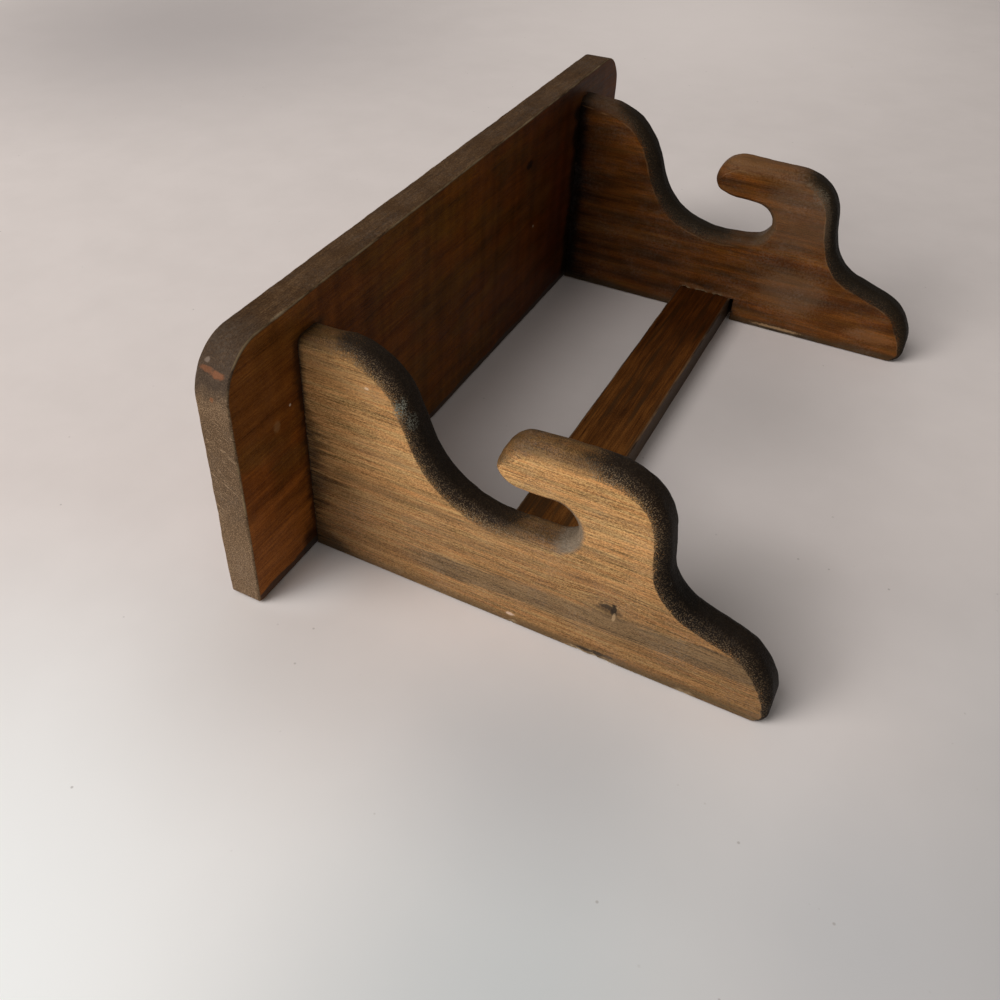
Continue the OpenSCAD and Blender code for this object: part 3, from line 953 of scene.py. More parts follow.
def knotGroup():
    # pushes the grain round a small knot, and gives its dark core
    net, given, out = newGroup("knot", [
        ("Vector", "Vector", None), ("Centre", "Vector", None), ("Radius", "Float", 4.0)], [
        ("Vector", "Vector"), ("Core", "Float"), ("Halo", "Float")])
    off = net.vector("SUBTRACT", given["Vector"], given["Centre"])
    flat = net.split(net.vector("MULTIPLY", off, (0.6, 1.0, 0.25)))
    rag = net.noise(given["Vector"], (3, 1.6, 3), 2, 0.6)
    far = net.vector("LENGTH", net.combine(flat[0], flat[1], flat[2]), out=1)
    far = (far + (rag - 0.5) * 2.6) / given["Radius"]
    bend = net.math("EXPONENT", far * far * -0.22)
    side = flat[1] * (bend * -0.75)
    net.wire(net.vector("ADD", given["Vector"], net.combine(0.0, side, 0.0)), out["Vector"])
    net.wire(net.remap(far, 1.15, 0.55, smooth=True), out["Core"])
    net.wire(net.remap(far, 3.0, 0.8, smooth=True), out["Halo"])
    return net.tree


def scorchGroup():
    # a scorched, rounded edge: black where the flame was and where shade is painted, speckled towards the
    # face.
    # Share is 0 where the rounding leaves the face and 1 on the edge's flat
    net, given, out = newGroup("scorchedEdge", [
        ("Vector", "Vector", None), ("Share", "Float", 0.0), ("Burn", "Float", 1.0)], [
        ("Dark", "Float"), ("Brown", "Float"), ("Grains", "Float"), ("Inside", "Float")])
    coarse = net.noise(given["Vector"], (1.5, 1.1, 1.1), 1, 0.5)
    grains = net.noise(given["Vector"], (0.62, 0.5, 0.5), 0, 0.5)
    patch = net.noise(given["Vector"], (11, 8, 9), 2, 0.5)
    mixed = coarse * 0.3 + grains * 0.7
    share = net.math("MAXIMUM", given["Share"], 0.0)
    burnt = (given["Burn"] - 0.8) * 3.6
    rise = (share - 0.22) * net.remap(given["Burn"], 0.5, 0.9, 0, 3.6)
    level = burnt + rise + (patch - 0.5) * 2.2
    crisp = net.remap(given["Burn"], 0.5, 0.85, 3.0, 10.0)
    over = (mixed - 0.5) * crisp + level
    soft = net.remap(given["Burn"], 0.4, 0.55, 0.45, 0.07)
    inside = net.math("DIVIDE", given["Share"] + 0.02, soft, clamp=True)
    net.wire(net.remap(over, -0.7, 0.7, smooth=True) * inside, out["Dark"])
    brown = net.remap(share, 0.0, 0.8, 0.3, 1.2)
    brown *= net.remap(given["Burn"], 0.15, 0.55, 0.0, 1.05)
    brown += (mixed - 0.5) * net.remap(given["Burn"], 0.1, 0.5, 0, 0.9)
    net.wire(net.math("MULTIPLY", brown, inside, clamp=True), out["Brown"])
    net.wire(mixed, out["Grains"])
    net.wire(inside, out["Inside"])
    return net.tree


def spotGroup():
    # a ragged patch of any size, by its centre and half sizes
    net, given, out = newGroup("raggedSpot", [("Vector", "Vector", None), ("Centre", "Vector", None),
                                              ("Size", "Vector", (1, 1, 1)), ("Rag", "Float", 0.6),
                                              ("Grain", "Float", 1.5), ("Soft", "Float", 0.35)],
                               [("Mask", "Float")])
    off = net.vector("DIVIDE", net.vector("SUBTRACT", given["Vector"], given["Centre"]), given["Size"])
    far = net.vector("LENGTH", off, out=1)
    rag = net.noise(net.vector("SCALE", given["Vector"], scale=1.0 / given["Grain"]), None, 3, 0.6)
    far += (rag - 0.5) * (given["Rag"] * 2.0)
    net.wire(net.remap(far, 1.0 + given["Soft"], 1.0 - given["Soft"], smooth=True), out["Mask"])
    return net.tree


def dustGroup():
    # fine pale dust and a few specks
    net, given, out = newGroup("paleDust", [("Vector", "Vector", None), ("Amount", "Float", 0.5)], [
        ("Haze", "Float"), ("Specks", "Float")])
    haze = net.noise(given["Vector"], (24, 24, 24), 4, 0.65)
    grit = net.noise(given["Vector"], (1.3, 1.3, 1.3), 2, 0.6)
    haze = net.remap(haze, 0.42, 0.75) * net.remap(grit, 0.35, 0.7)
    net.wire(haze * given["Amount"], out["Haze"])
    dots = net.cells(given["Vector"], 17)
    net.wire(net.remap(dots, 0.035, 0.02), out["Specks"])
    return net.tree


pineGrain = pineGrainGroup()
knotBend = knotGroup()
scorchedEdge = scorchGroup()
raggedSpot = spotGroup()
paleDust = dustGroup()


def startMaterial(name, gloss=0.5):
    material = bpy.data.materials.new(name)
    material.use_nodes = True
    net = Net(material.node_tree)
    place = net.vector("SCALE", net.node("ShaderNodeTexCoord").outputs["Object"], scale=1000.0)
    shader = material.node_tree.nodes["Principled BSDF"]
    shader.inputs["Specular IOR Level"].default_value = gloss
    return material, net, shader, place


def spot(net, place, centre, size, rag=0.5, grain=1.5, soft=0.35):
    return net.group(raggedSpot, {"Vector": place, "Centre": centre, "Size": size, "Rag": rag, "Grain": grain,
                                  "Soft": soft})["Mask"]


def withMarks(net, place, colour, marks, rag, grain):
    # ragged marks painted over a colour: place, half sizes, colour, strength
    for centre, size, tint, amount in marks:
        colour = net.mix(spot(net, place, centre, size, rag, grain) * amount, colour, tint)
    return colour


bracketLook = {
    "left": {
        "pale": (0.55, 0.325, 0.138), "mid": (0.34, 0.185, 0.072), "deep": (0.13, 0.069, 0.025),
        "grey": (0.17, 0.11, 0.053),
        "char": (0.013, 0.007, 0.003), "edge": (0.10, 0.055, 0.021), "sanded": (0.175, 0.142, 0.105),
        "warm": (0.55, 0.24, 0.08),
        "ash": (0.21, 0.14, 0.075), "line": (0.3, 0.17, 0.07),
        "lineStrength": 0.15, "sandedDark": (0.05, 0.036, 0.024),
        "bare": 0.9, "dashes": 0.2, "fibre": 0.62, "fine": 0.62, "pith": (-95.0, -215.0), "gap": 2.3,
    },
    # painted shade: the right bracket is the same wood as the left, painted much darker and redder for the
    # shade it sits in under the shelf
    "right": {
        "pale": (0.17, 0.062, 0.013), "mid": (0.088, 0.028, 0.0045), "deep": (0.03, 0.0085, 0.0013),
        "grey": (0.09, 0.042, 0.015),
        "char": (0.014, 0.0085, 0.0035), "edge": (0.10, 0.05, 0.015), "sanded": (0.15, 0.105, 0.06),
        "warm": (0.23, 0.07, 0.012),
        "ash": (0.085, 0.052, 0.025), "line": (0.26, 0.14, 0.06),
        "lineStrength": 0.35, "sandedDark": (0.05, 0.034, 0.02),
        "bare": 0.35, "dashes": 0.14, "fibre": 0.2, "fine": 0.26, "pith": (40.0, 260.0), "gap": 2.6,
    },
}


def grainOf(net, place, look, wander, seed):
    across, deep = look["pith"]
    return net.group(pineGrain, {"Vector": place, "Ring Gap": look["gap"], "Pith Across": across,
                                 "Pith Deep": deep, "Wander": wander, "Seed": seed})


def woodRamp(net, value, look, names=("deep", "mid", "pale")):
    return net.ramp(value, [(0.5 * i, look[name]) for i, name in enumerate(names)])


def bracketMaterial(side):
    look = bracketLook[side]
    material, net, shader, place = startMaterial(side + "BracketPine", 0.12)
    axes = net.split(place)
    grainPlace = net.combine(axes[2], axes[1], axes[0])
    share, burn = net.attribute("share"), net.attribute("burn")
    wear = net.attribute("arrisAway")
    core = halo = None
    if side == "left":
        knot = net.group(knotBend, {"Vector": grainPlace, "Centre": (-55.5, -33.9, -172.0), "Radius": 3.8})
        grainPlace, core, halo = knot["Vector"], knot["Core"], knot["Halo"]
    grain = grainOf(net, grainPlace, look, 3.2, 3.0 if side == "left" else 9.0)
    # one value for how light the wood is, then colours along it
    value = (grain["Tone"] - 0.5) * 0.36
    value += (grain["Fibre"] - 0.5) * look["fibre"]
    value += (grain["Fine"] - 0.5) * look["fine"]
    value -= grain["Rings"] * 0.16
    value += 0.6
    value = net.math("SUBTRACT", value, grain["Dashes"] * look["dashes"], clamp=True)
    colour = woodRamp(net, value, look)
    hue = net.noise(net.vector("ADD", grainPlace, (30, 30, 0)), (30, 1.9, 4), 1, 0.5)
    colour = net.tint(colour, net.mix(net.remap(hue, 0.36, 0.64), (0.95, 1.01, 1.0), (1.09, 0.99, 0.92)))
    greys = net.noise(net.vector("ADD", grainPlace, (60, 0, 0)), (110, 7, 12), 2, 0.55)
    greys = net.remap(greys, 0.5, 0.66, 0, 0.6, smooth=True)
    colour = net.mix(greys, colour, net.mix(0.55, colour, look["grey"]))
    warms = net.noise(net.vector("ADD", grainPlace, (0, 90, 0)), (50, 2.2, 5), 2, 0.55)
    warmWood = net.mix(grain["Fine"], look["mid"], look["warm"])
    colour = net.mix(net.remap(warms, 0.55, 0.68, 0, 0.5), colour, warmWood)
    if side == "left":
        # the grey band along the lower half, with the knot in it
        middle = net.remap(axes[2], 45, -130, -20.0, -28.5)
        away = abs(axes[1] - middle)
        edge = away + (grain["Fibre"] - 0.5) * 3.0
        band = net.remap(edge, 8.0, 5.0, smooth=True) * net.remap(axes[2], 62, 30, smooth=True)
        colour = net.mix(band * 0.8, colour, net.mix(value, (0.085, 0.055, 0.028), (0.30, 0.20, 0.105)))
        # darker towards the wall and the tip, paler round the finger
        sway = net.noise(place, (70, 16, 55), 2, 0.5)
        up = axes[1] * -1.0 - (sway - 0.5) * 40.0
        shadeBy = net.ramp(net.remap(up, 20, 110), [(0.0, (0.66, 0.63, 0.60)), (0.3, (0.80, 0.78, 0.76)),
                                                    (0.65, (1.12, 1.12, 1.1)), (1.0, (1.08, 1.06, 1.0))])
        colour = net.tint(colour, shadeBy)
        low = net.remap(axes[2] + axes[1] * -0.25, -35, -125, 0, 0.55)
        colour = net.mix(low, colour, net.tint(colour, (0.6, 0.57, 0.52)))
        colour = net.mix(halo * 0.3, colour, (0.15, 0.10, 0.055))
        colour = net.mix(core * 0.45, colour, (0.04, 0.028, 0.017))
        colour = withMarks(net, place, colour, knotMarks, 0.9, 1.3)
    else:
        waves = net.noise(net.vector("ADD", grainPlace, (0, 40, 70)), (44, 6.5, 12), 2, 0.5)
        colour = net.tint(colour, net.ramp(waves, [(0.3, (0.5, 0.5, 0.4)), (0.47, (0.86, 0.84, 0.6)),
                                                   (0.58, (1.1, 1.08, 0.8)), (0.7, (1.5, 1.5, 1.2))]))
        # painted shade: darker towards the shelf, in whose shade this bracket sits
        near = net.remap(axes[2], 60, 104, 0, 0.55, smooth=True)
        colour = net.mix(near, colour, net.tint(colour, (0.45, 0.42, 0.4)))
    # where the shelf's stain has run on to the joint
    seam = float(shelf["underZ"]) - axes[2]
    zone = net.remap(abs(axes[1] + 47.0), 46, 26, 0.1, 1, smooth=True)
    fingers = net.noise(place, (60, 4.5, 90), 3, 0.65)
    reach = net.remap(fingers, 0.36, 0.68) * zone
    reach = reach * 30.0 + 2.5
    stain = net.remap(seam / reach, 1.0, 0.15, 0, 0.95, smooth=True)
    corner = spot(net, place, (axesX(side), -3, 99), (6, 9, 13), 0.4, 6)
    stain = net.math("MAXIMUM", stain, corner * 0.9)
    smut = net.tint(colour, net.mix(grain["Fibre"], (0.15, 0.15, 0.15), (0.42, 0.42, 0.4)))
    colour = net.mix(stain, colour, smut)
    colour = net.mix(net.remap(seam, 1.3, 0.5, 0, 0.85), colour, (0.02, 0.012, 0.008))
    if side == "right":
        # painted shade with stain: near black within a few millimetres of the shelf, in the corner where this
        # bracket meets it
        soakedAndShaded = seam + (fingers - 0.5) * 9.0
        colour = net.mix(net.remap(soakedAndShaded, 9.0, 3.0, 0, 0.9, smooth=True), colour, (0.006, 0.0025, 0.0008))
    # handling dirt on the wall-side arris
    low = axes[1] * -1.0 - grain["Fibre"] * 3.0
    colour = net.mix(net.remap(low, 5.5, -0.6, 0, 0.7, smooth=True), colour, (0.055, 0.038, 0.018))
    # rounded edge, scorched, and darkened as painted shade where it turns from the lamp
    scorch = net.group(scorchedEdge, {"Vector": place, "Share": share, "Burn": burn})
    speckle = net.remap(scorch["Grains"], 0.38, 0.62)
    edged = net.tint(colour, net.mix(speckle, (0.16, 0.135, 0.10), (0.5, 0.45, 0.36)))
    edged = net.mix(scorch["Brown"], colour, net.mix(0.35, edged, look["edge"]))
    bare = net.attribute("sanded") * scorch["Inside"]
    bareTone = net.noise(place, (0.7, 0.9, 3.5), 1, 0.7)
    pale = net.remap(axes[2] + axes[1] * -0.35, 4, -12)
    bareTone = net.remap(bareTone, 0.35, 0.65) * 0.4 + pale * 0.6
    edged = net.mix(bare * look["bare"], edged, net.mix(bareTone, look["sandedDark"], look["sanded"]))
    dark = scorch["Dark"] * (1.0 - bare * look["bare"])
    flecks = net.remap(scorch["Grains"], 0.53, 0.63) * net.remap(share, 1.0, 0.3, 0.08, 1.0)
    flecks *= net.remap(burn, 0.92, 1.15, 1.0, 0.45)
    soot = net.mix(net.remap(burn, 1.0, 1.3), look["char"], (0.0045, 0.0025, 0.001))
    colour = net.mix(dark, edged, net.mix(flecks, soot, look["ash"]))
    # painted highlight along the line where the rounding starts, in broken places
    line = net.noise(place, (8, 14, 14), 2, 0.5)
    line = net.remap(abs(net.attribute("share")), 0.1, 0.02) * net.remap(line, 0.45, 0.6)
    colour = net.mix(line * look["lineStrength"], colour, look["line"])
    worn = net.noise(place, (2.2, 2.2, 5), 3, 0.6)
    wornMask = net.remap(wear, 1.6, 0.4) * net.remap(worn, 0.55, 0.7)
    colour = net.mix(wornMask * 0.5, colour, look["pale"])
    for centre, size, tint, amount in bracketMarks[side]:
        mark = spot(net, place, centre, size, 0.9, 1.2) * net.remap(scorch["Grains"], 0.44, 0.54)
        colour = net.mix(mark * amount, colour, tint)
    bareWood = net.mix(grain["Fibre"], (0.05, 0.03, 0.018), (0.5, 0.36, 0.2))
    colour = net.mix(net.attribute("chipped"), colour, bareWood)
    colour = withMarks(net, place, colour, faceMarks[side], 0.7, 1.4)
    dust = net.group(paleDust, {"Vector": place, "Amount": 0.1})
    haze = dust["Haze"] * (1.0 - dark * 0.8)
    colour = net.mix(haze, colour, (0.5, 0.46, 0.4))
    net.wire(colour, shader.inputs["Base Color"])
    rough = 0.42 + grain["Fibre"] * 0.16
    rough += dark * 0.12
    net.wire(rough, shader.inputs["Roughness"])
    height = grain["Fibre"] * 0.45 + grain["Fine"] * 0.3
    height -= grain["Dashes"] * 0.6
    gritty = scorch["Grains"] * (scorch["Inside"] * 2.6)
    net.wire(net.bump(height + gritty, 0.0002, 0.8), shader.inputs["Normal"])
    return material


bracketMarks = {
    # small speckled marks on the scorched edge: place, half sizes, colour, strength
    "left": [((-168.5, -105.0, 53.0), (4, 5, 3.0), (0.17, 0.175, 0.14), 0.9),
             ((-170, -100.0, 47.0), (4, 4, 2.5), (0.12, 0.12, 0.095), 0.7),
             ((-167.0, -58.5, -77.5), (1.6, 2.2, 0.8), (0.3, 0.27, 0.22), 0.8),
             ((-169.5, -121, 92), (4, 8, 9), (0.2, 0.11, 0.05), 0.35)],
    "right": [((154, -100, -60), (3, 6, 6), (0.12, 0.1, 0.07), 0.5)],
}
knotMarks = [
    ((-172, -36.0, -53.5), (3, 1.5, 3.2), (0.03, 0.02, 0.012), 0.85),
    ((-172, -34.6, -57.2), (3, 4.0, 1.3), (0.022, 0.015, 0.009), 0.95),
    ((-172, -30.6, -57.6), (3, 2.4, 0.8), (0.36, 0.24, 0.13), 0.8),
]
faceMarks = {
    # splinters, worn spots and a paler patch on the faces, with painted shade, light and highlight as noted
    # the first three left marks: painted shade in the split-outs on the wall-side arris
    "left": [((-172, -2.4, -46.5), (1.5, 1.0, 5.0), (0.03, 0.021, 0.013), 0.9),
             ((-172, -3.0, -53.0), (1.5, 1.3, 3.2), (0.035, 0.024, 0.015), 0.9),
             ((-172, -3.4, -58.5), (1.5, 0.8, 2.6), (0.05, 0.033, 0.02), 0.8),
             ((-172, -5.7, -7.6), (1.5, 1.0, 2.2), (0.62, 0.45, 0.34), 0.75),
             # painted highlight at the left tip
             ((-171.5, -3.2, -133.5), (2.5, 2.2, 1.2), (0.6, 0.56, 0.52), 0.6),
             ((-172, -112, 69), (1.5, 0.7, 1.0), (0.7, 0.5, 0.33), 0.8)],
    "right": [((154, -31, -56), (2, 15, 21), (0.21, 0.125, 0.066), 0.32),
              ((154, -84, -52), (2, 26, 26), (0.15, 0.105, 0.066), 0.28),
              ((154, -2.6, -53), (2, 1.0, 15), (0.42, 0.26, 0.13), 0.7),
              ((154, -0.9, -50), (2, 0.9, 22), (0.03, 0.018, 0.01), 0.8),
              ((154, -18.2, 9), (2, 1.5, 8), (0.2, 0.085, 0.03), 0.7),
              ((154, -17.8, -8), (2, 1.1, 9), (0.16, 0.07, 0.026), 0.6),
              ((154, -105, -50), (2.5, 1.2, 1.8), (0.25, 0.19, 0.12), 0.15),
              # painted light on the right hook's top
              ((163, -109, -16), (12, 7, 28), (0.32, 0.17, 0.07), 0.24),
              # painted shadow in the gap beside the rail
              ((154, -6.0, -15.5), (2, 4.5, 6), (0.006, 0.003, 0.002), 0.95),
              # painted light on the right bracket's lower tip
              ((154, -14, -112), (2, 4, 16), (0.3, 0.13, 0.045), 0.35)],
}


def axesX(side):
    return -bracket["outerX"] if side == "left" else bracket["outerX"] - bracket["thick"]


def boardWood(net, place, look, seed):
    # stained pine with its grain along X
    grain = grainOf(net, place, look, look["wander"], seed)
    blotches = net.noise(place, (30, 14, 14), 3, 0.6)
    value = (grain["Tone"] - 0.5) * 0.4
    value += (blotches - 0.5) * 0.9
    value += (grain["Fibre"] - 0.5) * 0.4
    value += (grain["Fine"] - 0.5) * 0.35
    value -= grain["Rings"] * 0.25
    value += 0.56
    value = net.math("SUBTRACT", value, grain["Dashes"] * 0.3, clamp=True)
    return grain, woodRamp(net, value, look)


shelfLook = {
    "pale": (0.165, 0.053, 0.011), "mid": (0.098, 0.0295, 0.0058), "deep": (0.04, 0.011, 0.002), "gap": 3.0,
    "pith": (-190.0, 60.0), "wander": 4.0,
    "edgeDeep": (0.022, 0.012, 0.006), "edgeMid": (0.068, 0.035, 0.015), "edgePale": (0.16, 0.093, 0.044),
    "endDeep": (0.045, 0.027, 0.014), "endMid": (0.13, 0.08, 0.044), "endPale": (0.33, 0.225, 0.135),
    # paint specks on the near end and specks underneath: place, half sizes, colour, strength
    "endMarks": [
        ((-217.4, -133.4, 117.5), (6, 1.0, 3.8), (0.26, 0.09, 0.035), 0.4),
        ((-218.0, -132.3, 111.5), (6, 1.4, 3.4), (0.28, 0.10, 0.042), 0.5),
        ((-222, -121.5, 113.6), (4, 1.1, 1.1), (0.24, 0.09, 0.035), 0.5),
        ((-215.6, -136.2, 118.6), (4, 0.9, 1.3), (0.26, 0.2, 0.16), 0.45)],
    "underMarks": [
        ((88, -68.5, 105), (0.8, 0.8, 2), (0.45, 0.38, 0.3), 0.6),
        ((-181.6, -96.2, 105), (0.7, 0.7, 2), (0.6, 0.5, 0.4), 0.8),
        ((-192.6, -90.9, 105), (2.4, 3.0, 2), (0.3, 0.17, 0.07), 0.45),
        ((-182, -143.9, 105), (6.0, 0.9, 1.2), (0.4, 0.31, 0.19), 0.4)],
}


def shelfMaterial():
    look = shelfLook
    material, net, shader, place = startMaterial("shelfPine", 0.05)
    axes = net.split(place)
    inset, wear = net.attribute("inset"), net.attribute("arrisAway")
    knot = net.group(knotBend, {"Vector": place, "Centre": (76.0, -114.5, 105.0), "Radius": 3.0})
    grain, colour = boardWood(net, knot["Vector"], look, 5.0)
    colour = net.mix(knot["Core"] * 0.9, colour, (0.008, 0.003, 0.001))
    # long edges and ends took the stain greyer
    onEdge = net.remap(inset, 1.3, 0.5, smooth=True)
    value = grain["Fibre"] * 0.55 + grain["Tone"] * 0.45
    blotch = net.noise(place, (16, 9, 6), 4, 0.6)
    rings = net.noise(place, (8, 2.6, 1.1), 3, 0.6)
    grit = net.noise(place, (1, 0.55, 0.5), 1, 0.5)
    value = (value - 0.5) * 0.4
    value += 0.45
    value += (grit - 0.5) * 1.0
    value = net.math("ADD", value, (blotch - 0.5) * 0.6, clamp=True)
    longEdge = woodRamp(net, value, look, ("edgeDeep", "edgeMid", "edgePale"))
    longEdge = net.mix(net.remap(axes[0], -178, -205, 0, 0.55, smooth=True), longEdge,
                       net.mix(grit, (0.028, 0.019, 0.013), (0.07, 0.05, 0.036)))
    saw = axes[1] + axes[2] * 0.59
    sawn = net.noise(net.combine(saw / 4.2, 0.0, axes[2] / 40.0), None, 2, 0.6)
    sawLines = net.remap(abs(sawn - 0.5), 0.016, 0.003)
    marked = net.remap(axes[1], -118, -106) * net.remap(axes[1], -38, -62)
    broken = net.remap(net.noise(place, (9, 4, 4), 1, 0.5), 0.38, 0.55)
    sawLines = sawLines * marked * broken
    endValue = (rings - 0.5) * 0.5 + 0.5
    endValue += (grit - 0.5) * 1.7
    endValue -= marked * 0.14
    endValue = net.math("ADD", endValue, sawLines * 0.42, clamp=True)
    endWood = woodRamp(net, endValue, look, ("endDeep", "endMid", "endPale"))
    onEnd = net.remap(abs(axes[0]), 212.0, 221.0, smooth=True)
    farUp = net.remap(axes[1] + (blotch - 0.5) * 22.0, -118, -127)
    endWood = net.mix(farUp * 0.8, endWood, net.mix(blotch, (0.018, 0.012, 0.009), (0.052, 0.036, 0.026)))
    edge = net.mix(onEnd, longEdge, endWood)
    edge = withMarks(net, place, edge, shelfLook["endMarks"], 0.6, 1.8)
    # painted light: the underside is painted warmer and brighter at the near end, where the lamp reaches
    # under it, and darker towards the far bracket
    lit = net.ramp(net.remap(axes[0], -222, 222), [(0.0, (1.75, 1.85, 1.6)), (0.14, (1.45, 1.5, 1.1)),
                                                   (0.45, (1.18, 1.18, 0.42)), (0.8, (0.47, 0.32, 0.15)),
                                                   (0.9, (0.8, 0.8, 0.6)), (1.0, (1.0, 1.0, 0.8))])
    under = net.remap(axes[2], float(shelf["underZ"]) + 2, float(shelf["underZ"]) + 0.5)
    colour = net.mix(under, colour, net.tint(colour, lit))
    # olive blotches, faint planer marks across, a pale run by the wall and, along both brackets, stain with
    # painted shade
    olive = net.noise(place, (45, 20, 30), 3, 0.55)
    chatter = net.noise(net.combine(axes[0] / 7.0, axes[1] / 160.0, 0.0), None, 1, 0.5)
    tints = net.mix(net.remap(olive, 0.46, 0.62), (1.04, 0.98, 0.95), (0.9, 1.06, 1.1))
    tints = net.tint(tints, net.mix(net.remap(chatter, 0.35, 0.65), (0.85, 0.85, 0.85), (1.12, 1.12, 1.12)))
    nearWall = net.remap(axes[1], -75, -20, smooth=True) * net.remap(axes[0], -170, -174)
    tints = net.mix(nearWall, tints, (1.5, 1.55, 1.7))
    farOut = net.remap(axes[1], -70, -105, 0, 0.6, smooth=True) * net.remap(axes[0], -170, -174)
    tints = net.mix(farOut, tints, (0.8, 0.9, 1.0))
    colour = net.mix(under, colour, net.tint(colour, tints))
    # stain and painted shade beside both brackets and in the near corner by the wall, near black by the far
    # bracket
    run = (blotch - 0.45) * 22.0
    besideNear = abs(axes[0] + 163.0)
    besideFar = abs(axes[0] - 163.0)
    stainAndShade = net.remap(besideNear - run * 0.6, 13.0, 9.0, 0, 0.7, smooth=True)
    farStainAndShade = net.remap(besideFar - run, 19.0, 11.0, 0, 0.95, smooth=True)
    corner = spot(net, place, (-176, -2, 105), (8, 14, 4), 0.4, 5.0)
    stainAndShade = net.math("MAXIMUM", stainAndShade, farStainAndShade) * net.remap(axes[1], -130.5, -124, smooth=True)
    stainAndShade = net.math("MAXIMUM", stainAndShade, corner * 0.8)
    colour = net.mix(stainAndShade * under, colour, (0.007, 0.0035, 0.0016))
    colour = net.mix(onEdge, colour, edge)
    # arrises worn paler in places, which also serves as a painted highlight along them
    rub = net.noise(place, (26, 8, 4), 4, 0.65)
    rubbedAndHighlit = net.remap(wear, 0.95, 0.25) * net.remap(rub, 0.4, 0.56)
    lowArris = net.remap(axes[2], 107.5, 105.8)
    rubbedAndHighlit *= net.remap(lowArris, 0, 1, 0.4, 1)
    colour = net.mix(rubbedAndHighlit * 0.75, colour, (0.33, 0.24, 0.13))
    back = net.remap(axes[1] + (rub - 0.5) * 7.0, -5.8, -4.8)
    back *= 1.0 - onEnd * onEdge
    back *= net.math("MAXIMUM", under, net.remap(axes[1], -1.6, -0.6))
    colour = net.mix(back * 0.85, colour, net.mix(grit, (0.012, 0.009, 0.007), (0.075, 0.06, 0.05)))
    colour = withMarks(net, place, colour, shelfLook["underMarks"], 0.5, 1.0)
    dust = net.group(paleDust, {"Vector": place, "Amount": 0.1})
    colour = net.mix(dust["Haze"] * net.remap(under, 0, 1, 1, 0.35), colour, (0.45, 0.4, 0.34))
    net.wire(colour, shader.inputs["Base Color"])
    rough = 0.4 + grain["Fibre"] * 0.15
    net.wire(rough + onEdge * 0.12, shader.inputs["Roughness"])
    height = grain["Fibre"] * 0.4 + grain["Fine"] * 0.25
    height -= grain["Dashes"] * 0.5
    height += sawLines * onEnd * (onEdge * 1.2)
    net.wire(net.bump(height, 0.00016, 0.7), shader.inputs["Normal"])
    return material


railLook = {
    "pale": (0.19, 0.072, 0.018), "mid": (0.10, 0.034, 0.0075), "deep": (0.035, 0.011, 0.0022), "gap": 3.4,
    "pith": (90.0, -120.0), "wander": 4.0,
}


def railMaterial():
    look = railLook
    material, net, shader, place = startMaterial("railPine", 0.06)
    axes = net.split(place)
    inset, wear = net.attribute("inset"), net.attribute("arrisAway")
    grain, colour = boardWood(net, place, look, 12.0)
    streak = net.noise(place, (75, 8, 4.5), 2, 0.5)
    colour = net.mix(net.remap(streak, 0.5, 0.66, 0, 0.7, smooth=True), colour, (0.045, 0.022, 0.01))
    # painted light and shade: brighter at the near end, darker towards the far bracket
    along = net.ramp(net.remap(axes[0], -160, 160), [(0.0, (1.25, 1.3, 1.15)), (0.5, (1.0, 0.95, 0.7)),
                                                     (0.85, (0.5, 0.38, 0.2)), (1.0, (0.4, 0.3, 0.15))])
    colour = net.tint(colour, along)
    # the narrow faces: darker stained wood and painted shade, darker still towards the far bracket
    side = net.remap(inset, 1.4, 0.5, smooth=True)
    sideWood = net.mix(grain["Fibre"], (0.035, 0.02, 0.011), (0.11, 0.07, 0.042))
    sideWood = net.mix(net.remap(axes[0], 0, 150, 0, 0.6), sideWood, (0.02, 0.011, 0.006))
    colour = net.mix(side, colour, sideWood)
    rub = net.noise(place, (30, 5, 5), 4, 0.65)
    colour = net.mix(net.remap(wear, 1.3, 0.4) * net.remap(rub, 0.45, 0.62) * 0.55, colour, (0.3, 0.17, 0.08))
    net.wire(colour, shader.inputs["Base Color"])
    net.wire(0.42 + grain["Fibre"] * 0.15, shader.inputs["Roughness"])
    height = grain["Fibre"] * 0.4 + grain["Fine"] * 0.25
    net.wire(net.bump(height, 0.00016, 0.7), shader.inputs["Normal"])
    return material


def zincMaterial(name, tint, dull):
    material, net, shader, place = startMaterial(name)
    bloom = net.noise(place, (2.4, 2.4, 2.4), 4, 0.65)
    shade = net.split(net.cells(place, 1.1, out=1))[0]
    value = bloom * 0.7 + shade * 0.3
    net.wire(net.ramp(value, [(0.2, [c * 0.62 for c in tint]), (0.8, tint)]), shader.inputs["Base Color"])
    net.wire(net.remap(value, 0.2, 0.8, dull + 0.14, dull - 0.08), shader.inputs["Roughness"])
    net.wire(net.remap(bloom, 0.62, 0.78, 1.0, 0.55), shader.inputs["Metallic"])
    scratch = net.noise(place, (0.12, 0.12, 3.5), 2, 0.6)
    net.wire(net.bump(value + scratch * 0.4, 0.00004, 0.5), shader.inputs["Normal"])
    return material


screwZinc = zincMaterial("screwZinc", (0.62, 0.60, 0.55), 0.36)
plateZinc = zincMaterial("plateZinc", (0.66, 0.66, 0.65), 0.38)
for obj, material in (
        (leftBracket, bracketMaterial("left")), (rightBracket, bracketMaterial("right")),
        (shelfTop, shelfMaterial()), (tieRail, railMaterial()), (leftPlate, plateZinc),
        (rightPlate, plateZinc)):
    obj.data.materials.clear()
    obj.data.materials.append(material)
print("materials", len(bpy.data.materials))


